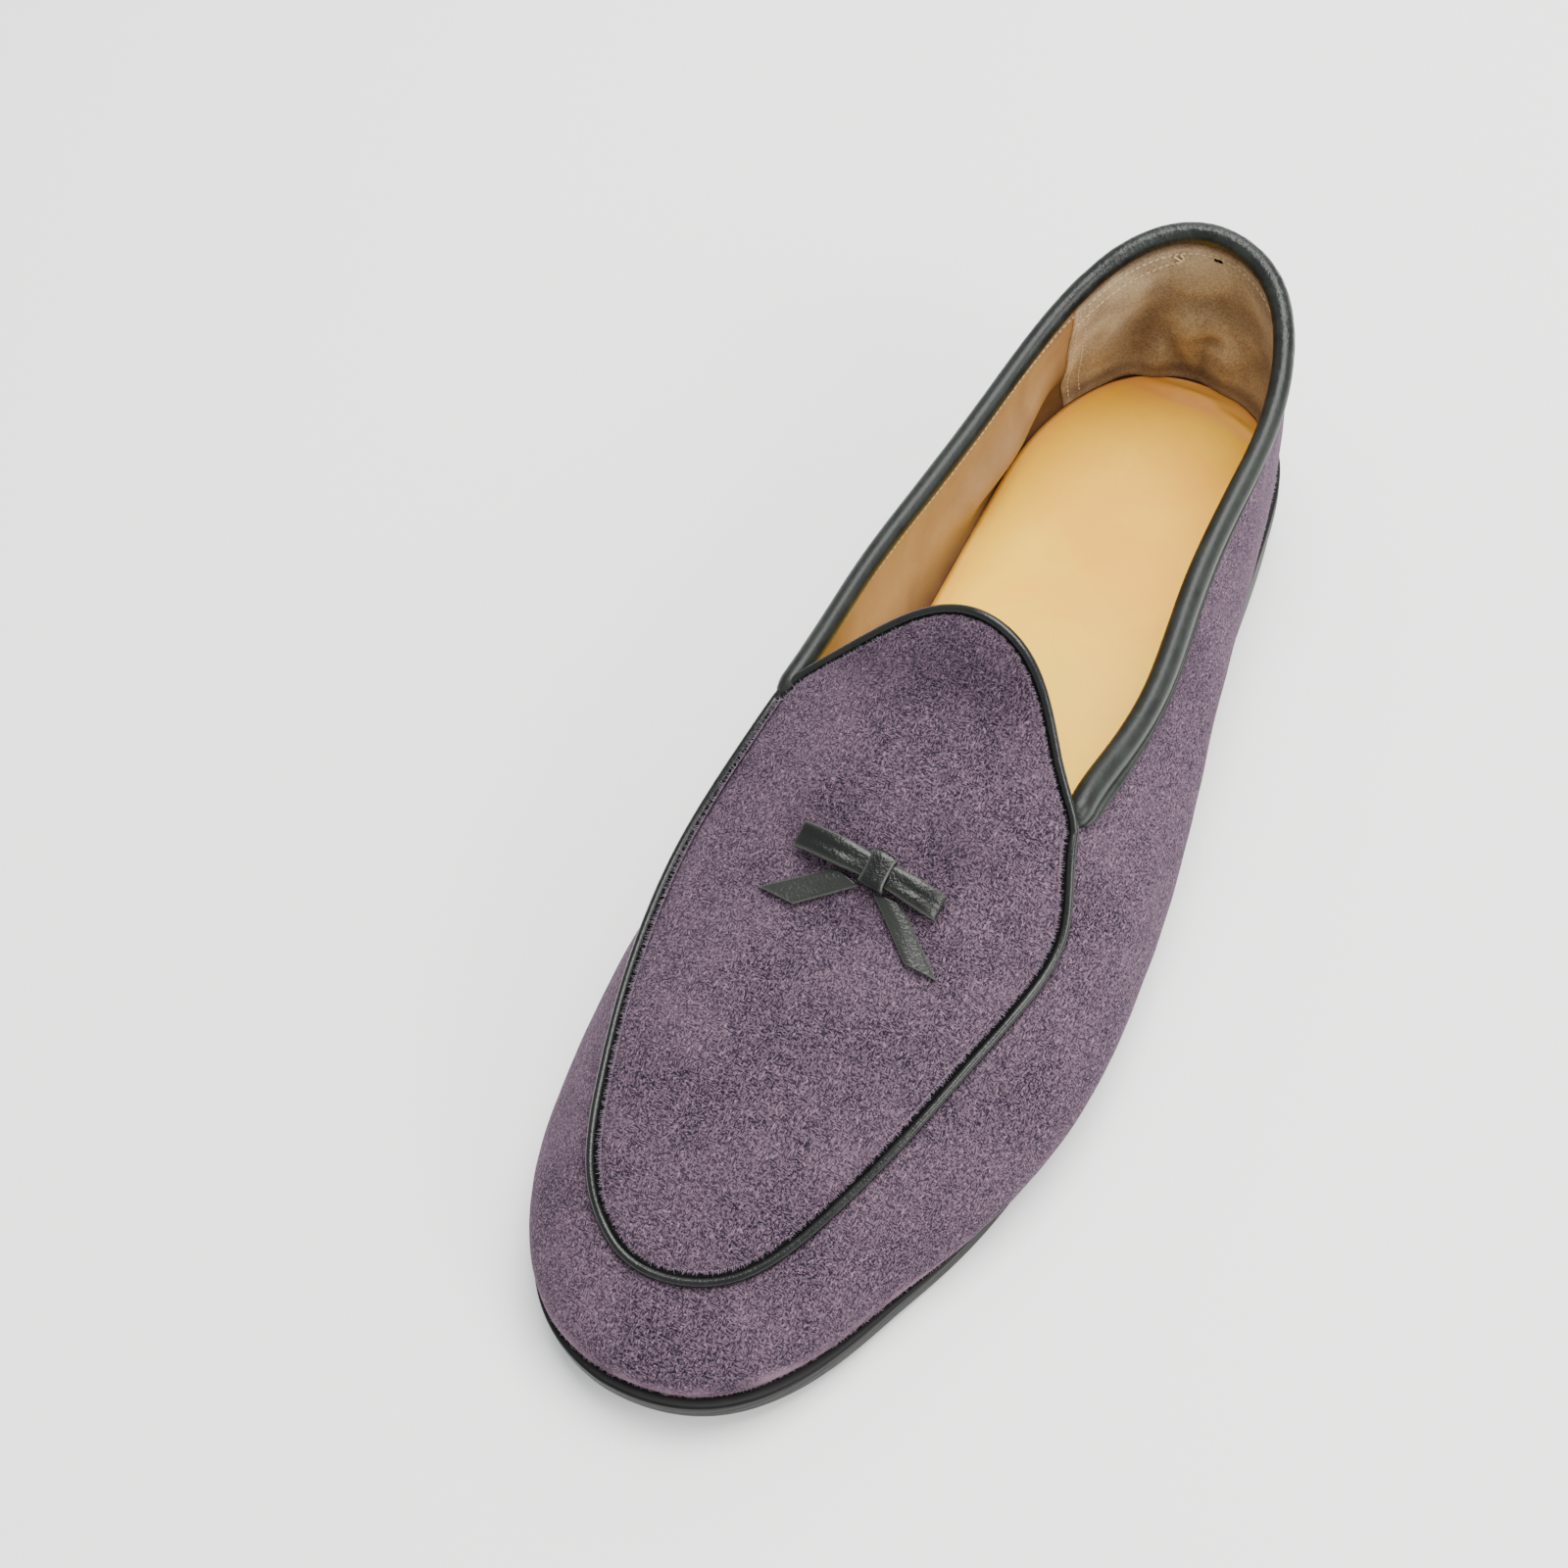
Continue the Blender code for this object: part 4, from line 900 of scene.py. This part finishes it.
# Painted shade on the grip: in the lining's hollows, in a band under the roll and in a band near its foot.
grip_hollows = [fold for fold in LINING_FOLDS if fold.height < 0]
grip_painted_shade = np.clip(-folds_at(grip_face, grip_hollows) * 0.24, 0.0, 0.6)
grip_top = np.clip((grip_steps - WALL_STEPS + 3.0) / 1.5, 0.0, 1.0)
grip_foot = np.exp(-((grip_steps - GRIP_DARK_STEP) / 2.5) ** 2) * 0.7
grip_painted_shade = np.maximum(grip_painted_shade, np.tile(np.maximum(grip_top, grip_foot), GRIP_ACROSS + 1))
grip = leather_sheet("heel_grip", grip_faces, grip_face, grip_back, grip_finish(),
                     {"painted_shade": grip_painted_shade})
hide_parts("upper")

# Lining stitches: cream thread along the topline, in a short second row behind its start and down
# the two edges of the heel grip, with the knot of its end, and a dark mark of painted shade for the hole of
# a needle beside it.
TOPLINE_DEPTH = 4.2
cream = Finish("cream_thread", Roughness=0.7)
cream_thread = cream.lay(cream.place.cloud(0.0004, 1.0).tint((0.42, 0.30, 0.16), (0.78, 0.62, 0.40)))
topline_rows = np.arange(round((INNER_THROAT + 0.3) * SPLITS), round(34.7 * SPLITS) + 1) / SPLITS
topline_steps = np.array([np.interp(TOPLINE_DEPTH, wall_down[round(row * SPLITS) % columns][::-1],
                                    np.arange(WALL_STEPS, -1, -1.0)) for row in topline_rows])
on_grip = np.clip((topline_rows - GRIP_START) * 4, 0, 1) * np.clip((GRIP_END - topline_rows) * 4, 0, 1)
edge_steps = np.arange(GRIP_BOTTOM_STEP + 3.0, WALL_STEPS - 4.0)
edge_front = GRIP_START + GRIP_SLANT * (1 - edge_steps / WALL_STEPS)
second_rows = np.linspace(26.15, 27.5, 28)
second_steps = np.interp(second_rows, (26.15, 27.5), (42.0, 44.5))
knot_rows = np.array([27.42, 27.50, 27.46, 27.55, 27.51])
knot_steps = np.array([47.0, 45.6, 44.6, 46.2, 47.2])
FINE, KNOT, HOLE = (0.0016, 0.0013, 0.00042), (0.0007, 0.0014, 0.0006), (0.0011, 0.0013, 0.0009)
grip_front, on_grip_edge = (edge_front + 0.07, edge_front + 0.20), GRIP_THICKNESS + 0.06
SEAMS = [
    ("lining_stitches", topline_rows, topline_steps, GRIP_THICKNESS * on_grip + 0.08, FINE, 2, cream_thread),
    ("grip_stitches_inner", grip_front[0], edge_steps, on_grip_edge, FINE, 7, cream_thread),
    ("grip_stitches_inner_second", grip_front[1], edge_steps, on_grip_edge, FINE, 7, cream_thread),
    ("grip_stitches_outer", GRIP_END - 0.07, edge_steps, on_grip_edge, FINE, 7, cream_thread),
    ("lining_stitches_second", second_rows, second_steps, GRIP_THICKNESS + 0.08, FINE, 3, cream_thread),
    ("thread_knot", knot_rows, knot_steps, GRIP_THICKNESS + 0.4, KNOT, 5, cream_thread),
    ("needle_hole_shade", np.array([28.03, 28.09]), 46.8, GRIP_THICKNESS, HOLE, 5, seam_edge),
]
for name, rows, steps, lift, sizes, seed, finish in SEAMS:
    line, ups = on_lining(rows, steps, lift)
    numbers = dict(zip(("Pitch", "Length", "Thickness"), sizes))
    run_tree(name, stitches, line, {**numbers, "Seed": seed}, finish, aside=ups)

# Insole sock: satin tan leather glued on the insole board, cupped at the heel, its back edge a
# little lifted from the board.
INSOLE_THICKNESS, INSOLE_INSET = 3.0, 2.25
SOCK_STATIONS, SOCK_ACROSS = 200, 48
CUP_DEPTH, CUP_Y, CUP_LENGTH = 0.9, 105, 34


def side_x(ring, y, outer):
    """Where the outer or inner side of a closed plan outline lies at y."""
    back, tip = np.argmax(ring[:, 1]), np.argmin(ring[:, 1])
    around = np.roll(ring, -back, axis=0)
    turn = (tip - back) % len(ring)
    part = around[:turn + 1] if outer else np.vstack([around[turn:], around[:1]])[::-1]
    return np.interp(-y, -part[:, 1], part[:, 0])


def across_outline(ring):
    """x at even steps over the width of a closed plan outline, at each station of the sock."""
    inner, outer = (side_x(ring, sock_y, side)[:, None] for side in (False, True))
    return inner * (1 - across) + outer * across


def crescent(x, y, slant, length, width):
    """1 along the middle of a short band that lies across the sock, less and less round it."""
    away = sock_yy - y + slant * (sock_x - x)
    return np.exp(-(away / width) ** 2 - ((sock_x - x) / length) ** 2)


foot_ring = wall_grid[:, 0, :2]
level = wall_grid[:, 0, 2] + INSOLE_THICKNESS
wall_ring = np.array([[np.interp(z, rib[:, 2], rib[:, side]) for side in (0, 1)]
                      for z, rib in zip(level, wall_grid)])
sock_ring, board_ring = (ring - wall_out[:, :2] * INSOLE_INSET for ring in (wall_ring, foot_ring))
turn = np.cos(np.linspace(0.0, math.pi, SOCK_STATIONS))
sock_top, sock_tip = sock_ring[:, 1].max(), sock_ring[:, 1].min()
sock_y = (sock_top + sock_tip) / 2 + (sock_top - sock_tip) / 2 * turn
across = np.linspace(0.0, 1.0, SOCK_ACROSS + 1)
sock_x = across_outline(sock_ring)
sock_yy = np.repeat(sock_y[:, None], SOCK_ACROSS + 1, axis=1)
bed = tread(sock_yy) + SOLE_THICKNESS
cup = CUP_DEPTH * np.exp(-((sock_yy - CUP_Y) / CUP_LENGTH) ** 2) * (1 - (2 * across - 1) ** 2)
lifted = 1.5 * crescent(-1, 138.6, 0.0, 9, 1.5) + 1.2 * crescent(13, 134.6, 0.35, 7, 1.4)
sock_face, sock_under = (np.stack([x, sock_yy, z], axis=-1).reshape(-1, 3) for x, z in (
    (sock_x, bed + INSOLE_THICKNESS - cup + lifted), (across_outline(board_ring), bed + 0.1)))
sock_leather = tan_leather("sock_leather", (0.98, 0.48, 0.010), (1.0, 0.60, 0.014),
                           (0.84, 0.66, 6.0), 0.40, crease=0.3)
# Painted shade on the sock: along its two edges under the walls, more and more towards the heel, at its
# back, and beside the two lifted crescents.
under_edge = np.clip((np.abs(2 * across - 1) - 0.86) / 0.14, 0.0, 1.0)
to_heel, at_heel = np.clip((sock_yy - 60) / 90, 0.0, 1.0), np.clip((sock_yy - 130) / 8, 0.0, 1.0)
sock_painted_shade = 0.35 * to_heel + 0.6 * under_edge + 0.55 * at_heel
sock_painted_shade += 0.55 * crescent(-1, 136.0, 0.0, 11, 0.9) + 0.4 * crescent(13, 132.4, 0.35, 8, 0.9)
sock_painted_shade = np.clip(sock_painted_shade, 0.0, 1.0).reshape(-1)
sock = leather_sheet("insole_sock", grid_faces(SOCK_STATIONS, SOCK_ACROSS, 0, False, True), sock_face,
                     sock_under, sock_leather, {"painted_shade": sock_painted_shade})
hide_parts("insole")

# Bow: soft black ribbon leather. One strip is folded into a flat ring for the two loops, a short
# band is drawn round its middle, and the two cut tails come out under the band.
BOW_AT, BOW_TURN = (3.5, -35.0), math.radians(-2.0)
RIBBON, RIBBON_THICKNESS, RIBBON_INSET = 6.0, 0.9, 0.72
BAR_LENGTH, BAR_HEIGHT, BAR_PINCH, BAR_MIDDLE = 34.5, 3.8, 2.0, 2.7
BAR_TURNS, BAR_ACROSS = 120, 14
KNOT_MIDDLE, KNOT_LENGTH, KNOT_HEIGHT, KNOT_DEPTH, KNOT_OFF = 2.4, 5.4, 4.8, 8.4, 0.3
KNOT_TURNS, KNOT_ACROSS = 72, 12
TAIL_STEPS, TAIL_ACROSS, TAIL_OFF, TAIL_WORN = 44, 12, 0.35, 0.22
Tail = namedtuple("Tail", "name root_near root_far tip heel")
TAILS = [
    Tail("inner", (-6.2, -3.4), (-0.2, -4.8), (-20.4, -14.2), (-11.2, -14.6)),
    Tail("outer", (9.2, -3.4), (3.4, -4.8), (22.7, -13.4), (15.4, -14.2)),
]
apron_corners = [tuple(dict.fromkeys(face)) for face in apron_faces.tolist() if len(set(face)) > 2]
apron_tree = BVHTree.FromPolygons(surface.tolist(), apron_corners)
DOWN = Vector((0.0, 0.0, -1.0))
bow_high = Vector((*BOW_AT, 150.0))
bow_along = Vector((math.cos(BOW_TURN), math.sin(BOW_TURN), 0.0))
bow_across = Vector((-bow_along.y, bow_along.x, 0.0))
bow_up = apron_tree.ray_cast(bow_high, DOWN)[1]
bow_up = bow_up * math.copysign(1.0, bow_up.z)


def on_apron_bed(points):
    """Lays (along, across, off) points of the bow on the apron."""
    laid = []
    for u, v, w in points.tolist():
        hit = apron_tree.ray_cast(bow_high + bow_along * u + bow_across * (v * bow_up.z), DOWN)[0]
        laid.append(hit + bow_up * w)
    return np.array(laid)


def signed_power(value, power):
    return np.copysign(np.abs(value) ** power, value)


def ribbon(name, faces, layer, rim, turns):
    """A closed ring of ribbon leather, worn pale along its two edges."""
    return leather_sheet(name, faces, layer(0.0), layer(RIBBON_INSET), bow_leather,
                         {"rim": (rim * np.ones((turns, 1))).reshape(-1)})


bow_leather = black_leather("bow_leather", (0.0016, 0.0024, 0.0016), 0.24, 0.00007)
turns = 2 * math.pi * np.arange(BAR_TURNS) / BAR_TURNS
bar_u = BAR_LENGTH / 2 * signed_power(np.cos(turns), 0.7)
opening = np.minimum(1.0, np.abs(bar_u - KNOT_MIDDLE) / 8.6) ** 1.5
bar_h = (BAR_PINCH + (BAR_HEIGHT - BAR_PINCH) * opening) / 2
reach = signed_power(np.sin(turns), 0.5)
width = np.linspace(-0.5, 0.5, BAR_ACROSS + 1)
narrow = 1.0 - 0.14 * (1 - opening)
edge_round = 0.35 * (np.abs(2 * width) ** 6)
crease = 0.07 * np.sin(bar_u * 0.6 + 0.7)[:, None] * np.exp(-((width - 0.1) / 0.3) ** 2)
crease = crease + 0.25 * np.exp(-(width / 0.12) ** 2) * (0.3 - opening)[:, None]


def bar_layer(inset):
    w = BAR_MIDDLE + reach[:, None] * (bar_h[:, None] - inset - edge_round)
    w = w + crease * np.sign(reach)[:, None]
    u = (bar_u * (1 - inset / (BAR_LENGTH / 2)))[:, None] * np.ones_like(w)
    v = (RIBBON * narrow)[:, None] * width
    return on_apron_bed(np.stack([u, v, w], axis=-1).reshape(-1, 3))


bar = ribbon("bow_loop_ribbon", grid_faces(BAR_TURNS, BAR_ACROSS, 0, True, False), bar_layer,
             np.abs(2 * width) ** 10, BAR_TURNS)
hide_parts("bow_loops")

turns = 2 * math.pi * np.arange(KNOT_TURNS) / KNOT_TURNS
knot_v, knot_w = (signed_power(wave(turns), 0.35)[:, None] for wave in (np.cos, np.sin))
width = np.linspace(-0.5, 0.5, KNOT_ACROSS + 1)
edge_round = 0.3 * np.abs(2 * width) ** 6 - 0.12 * np.cos(width * 5.0) ** 2


def knot_layer(inset):
    v = knot_v * (KNOT_DEPTH / 2 - inset - edge_round)
    w = KNOT_OFF + KNOT_HEIGHT / 2 + knot_w * (KNOT_HEIGHT / 2 - inset - edge_round)
    u = KNOT_MIDDLE + KNOT_LENGTH * width * (1 + 0.04 * np.sin(3 * turns)[:, None])
    return on_apron_bed(np.stack([u, v, w], axis=-1).reshape(-1, 3))


knot = ribbon("bow_knot_band", grid_faces(KNOT_TURNS, KNOT_ACROSS, 0, True, True), knot_layer,
              np.abs(2 * width) ** 10, KNOT_TURNS)
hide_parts("bow_knot")

for tail in TAILS:
    near, far, tip, heel = (np.array(corner) for corner in tail[1:])
    t = np.linspace(0.0, 1.0, TAIL_STEPS + 1)[:, None, None]
    s = np.linspace(0.0, 1.0, TAIL_ACROSS + 1)[None, :, None]
    plan = (near + (tip - near) * t) * (1 - s) + (far + (heel - far) * t) * s
    t, s = t[..., 0], s[..., 0]
    lift = TAIL_OFF + 0.6 * (1 - t) ** 2 + 0.5 * t ** 2
    ribs = 0.03 * np.sin(7 * t + 2 * s) * np.sin(math.pi * s)
    ribs = ribs + 0.25 * np.exp(-((s - 0.5) / 0.2) ** 2) * (1 - t)
    top = lift + RIBBON_THICKNESS * 0.85 + ribs - 0.35 * np.abs(2 * s - 1) ** 5
    tail_top, tail_low = (on_apron_bed(np.dstack([plan, w]).reshape(-1, 3))
                          for w in (top, lift + ribs * 0.5))
    tone_share = np.maximum(np.maximum(np.abs(2 * s - 1) ** 12, t ** 40), TAIL_WORN)
    strip = leather_sheet(f"bow_tail_ribbon_{tail.name}",
                          grid_faces(TAIL_STEPS + 1, TAIL_ACROSS, 0, False, tail.name == "inner"),
                          tail_top, tail_low, bow_leather, {"rim": tone_share.reshape(-1)})
    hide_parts(f"bow_tail_{tail.name}")

# Outsole: thin firm leather, its edge trimmed, inked black and waxed to a satin shine.
EDGE_OUT, TOE_EDGE_OUT, TOE_EDGE_START_Y, TOE_EDGE_END_Y = 1.2, 2.6, -85.0, -135.0
EDGE_ROUND = 0.8
INNER_TOE_X, INNER_TOE_EASE = -28, 24


def sole_leather(name, low, high, roughness, band):
    """Black dressed leather with fine lines from the trimming iron, `band` metres apart."""
    hide = Finish(name, Specular_IOR_Level=0.15, Coat_Weight=0.02, Coat_Roughness=0.4)
    height = hide.place.node("ShaderNodeSeparateXYZ", {0: hide.place}, output=2)
    lines = height.math("SINE", height * (2 * math.pi / band)) * 0.5 + 0.5
    scuffs = hide.place.turned((60.0, 60.0, 900.0)).cloud(1.0, 4.0, 0.65)
    fine = hide.place.cloud(0.0005, 3.0, 0.6)
    shade = scuffs.between(0.35, 0.7).tint(low, high)
    height = lines * 0.00003 + fine * 0.00004 + scuffs * 0.00006
    return hide.lay(shade, scuffs * 0.25 + (roughness - 0.12), height)


def sole_ring(outset, lift):
    moved = foot_ring + wall_out[:, :2] * np.reshape(outset, (-1, 1))
    return np.column_stack([moved, tread(moved[:, 1]) + lift])


toe_share = np.clip((TOE_EDGE_START_Y - foot_ring[:, 1]) / (TOE_EDGE_START_Y - TOE_EDGE_END_Y), 0.0, 1.0)
outer_share = np.clip((foot_ring[:, 0] - INNER_TOE_X) / INNER_TOE_EASE, 0.0, 1.0)
edge_out = EDGE_OUT + (TOE_EDGE_OUT - EDGE_OUT) * outer_share * toe_share * toe_share * (3 - 2 * toe_share)
sole_top = SOLE_THICKNESS - 0.2
quarter = np.linspace(0.0, math.pi / 2, 6)
curve = [(EDGE_ROUND * (1 - math.sin(a)), EDGE_ROUND * (1 - math.cos(a))) for a in quarter]
profile = [(12.0, 0.0), (6.0, 0.0), (2.0, 0.0)] + curve
profile += [(a, sole_top - b) for b, a in curve] + [(2.0, sole_top), (6.0, sole_top), (12.0, sole_top)]
sole_points = np.vstack([sole_ring(edge_out - depth, lift) for depth, lift in profile])


def caps(count, first, turned):
    """Strips between the paired halves of a closed ring of points."""
    i = np.arange(count // 2)
    faces = np.column_stack([i, i + 1, (count - i - 1) % count, (count - i) % count]) + first
    return faces[:, ::-1] if turned else faces


sole_faces = np.vstack([ring_faces(len(profile), columns), caps(columns, 0, False),
                        caps(columns, (len(profile) - 1) * columns, True)])
edge_leather = sole_leather("sole_edge_leather", (0.0018, 0.002, 0.002), (0.005, 0.0055, 0.0055),
                            0.5, 0.0018)
outsole = shoe_piece("outsole_leather", sole_points, sole_faces, edge_leather)
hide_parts("outsole")

# Heel: three thin leather lifts under the seat, trimmed flush, inked black, on a firm top piece.
HEEL_IN, HEEL_TAPER, BREAST_CURVE, BREAST_POINTS = 0.4, 1.2, 3.0, 24
HEEL_LEVELS, HEEL_CLEAR = 28, 0.05
GROOVES, GROOVE_SIZE, FOOT_ROUND = (3.0, 5.6, 8.2), 0.22, 0.5
around_heel = np.arange(-8 * SPLITS, 8 * SPLITS) % columns
around_heel = around_heel[foot_ring[around_heel, 1] > BREAST_Y + 0.5]


def heel_ring(outset, z):
    """The heel's outline at a height: round the seat, then back along its hollow breast."""
    side = foot_ring[around_heel] + wall_out[around_heel, :2] * outset
    corner_in, corner_out = ((side[at, 0], BREAST_Y) for at in (0, -1))
    front = np.linspace(corner_out, corner_in, BREAST_POINTS + 2)
    t = np.linspace(0.0, 1.0, BREAST_POINTS + 2)
    front[:, 1] += BREAST_CURVE * 4 * t * (1 - t)
    ring = np.vstack([side, front])
    return np.column_stack([ring, np.full(len(ring), z)])


heel_leather = sole_leather("heel_leather", (0.0025, 0.003, 0.003), (0.008, 0.009, 0.009), 0.45, 0.0036)
heel_rings = []
for level in np.linspace(0.0, 1.0, HEEL_LEVELS + 1):
    z = level * (HEEL_HEIGHT - HEEL_CLEAR)
    outset = EDGE_OUT - HEEL_TAPER + (HEEL_TAPER - HEEL_IN) * level
    groove = sum(GROOVE_SIZE * math.exp(-((z - line) / GROOVE_SIZE) ** 2) for line in GROOVES)
    foot = FOOT_ROUND * (1 - min(level * HEEL_LEVELS / 2, 1.0)) ** 2
    heel_rings.append(heel_ring(outset - groove - foot, z))
ring_size = len(heel_rings[0])
last_point = ring_size * len(heel_rings) - 1
heel_faces = np.roll(ring_faces(len(heel_rings), ring_size), 2, axis=1)
heel = shoe_piece("heel_lifts", np.vstack(heel_rings), heel_faces, heel_leather,
                  ends=[range(ring_size), range(last_point, last_point - ring_size, -1)])
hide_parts("heel")

# Setting: a pale plain floor under soft studio light, seen from above the toe's outer side.
LENS_PIXELS = 2413.4
PHOTO_PIXELS = 1600
SENSOR_MM = 36.0
CAMERA_AT = (0.14917, -0.23295, 0.48937)
CAMERA_RIGHT = (0.86379964, 0.49003417, -0.11711829)
CAMERA_DOWN = (0.36646251, -0.77059684, -0.52142664)
CAMERA_AHEAD = (-0.34576785, 0.40748868, -0.84522043)

camera_data = bpy.data.cameras.new("photo_camera")
camera_data.sensor_width = SENSOR_MM
camera_data.lens = LENS_PIXELS * SENSOR_MM / PHOTO_PIXELS
camera_data.clip_start = 0.01
camera = set_down("photo_camera", camera_data)
turn = Matrix((CAMERA_RIGHT, CAMERA_DOWN, CAMERA_AHEAD)).transposed() @ Matrix.Diagonal((1.0, -1.0, -1.0))
camera.matrix_world = Matrix.Translation(CAMERA_AT) @ turn.to_4x4()
bpy.context.scene.camera = camera

FLOOR_HALF = 3.0
floor_mesh = bpy.data.meshes.new("floor")
corners = [(x * FLOOR_HALF, y * FLOOR_HALF, 0.0) for x, y in ((-1, -1), (1, -1), (1, 1), (-1, 1))]
floor_mesh.from_pydata(corners, [], [(0, 1, 2, 3)])
paper = Finish("pale_floor", Roughness=0.55, Specular_IOR_Level=0.3)
pale = paper.place.cloud(0.4, 2.0).tint((0.94, 0.945, 0.93), (0.97, 0.972, 0.96))
floor_mesh.materials.append(paper.lay(pale))
floor = set_down("floor", floor_mesh)

Lamp = namedtuple("Lamp", "name at toward size power colour")
LAMPS = [
    Lamp("overhead_softbox", (0.15, 0.35, 1.3), (0.0, 0.0, 0.0), 0.9, 34.0, (1.0, 0.99, 0.97)),
    Lamp("outer_side_softbox", (1.2, -0.1, 0.8), (0.0, 0.0, 0.03), 0.7, 16.0, (1.0, 0.98, 0.95)),
    Lamp("heel_softbox", (-0.2, 1.2, 0.9), (0.0, 0.05, 0.03), 0.7, 6.0, (0.97, 0.98, 1.0)),
]
for lamp in LAMPS:
    light = bpy.data.lights.new(lamp.name, "AREA")
    light.shape = "SQUARE"
    light.size = lamp.size
    light.energy = lamp.power
    light.color = lamp.colour
    hung = set_down(lamp.name, light)
    hung.location = lamp.at
    hung.rotation_euler = (Vector(lamp.toward) - Vector(lamp.at)).to_track_quat("-Z", "Y").to_euler()

world = bpy.data.worlds.new("studio")
world.use_nodes = True
sky = world.node_tree.nodes["Background"].inputs
sky["Color"].default_value = (0.95, 0.97, 1.0, 1.0)
sky["Strength"].default_value = 1.0
bpy.context.scene.world = world
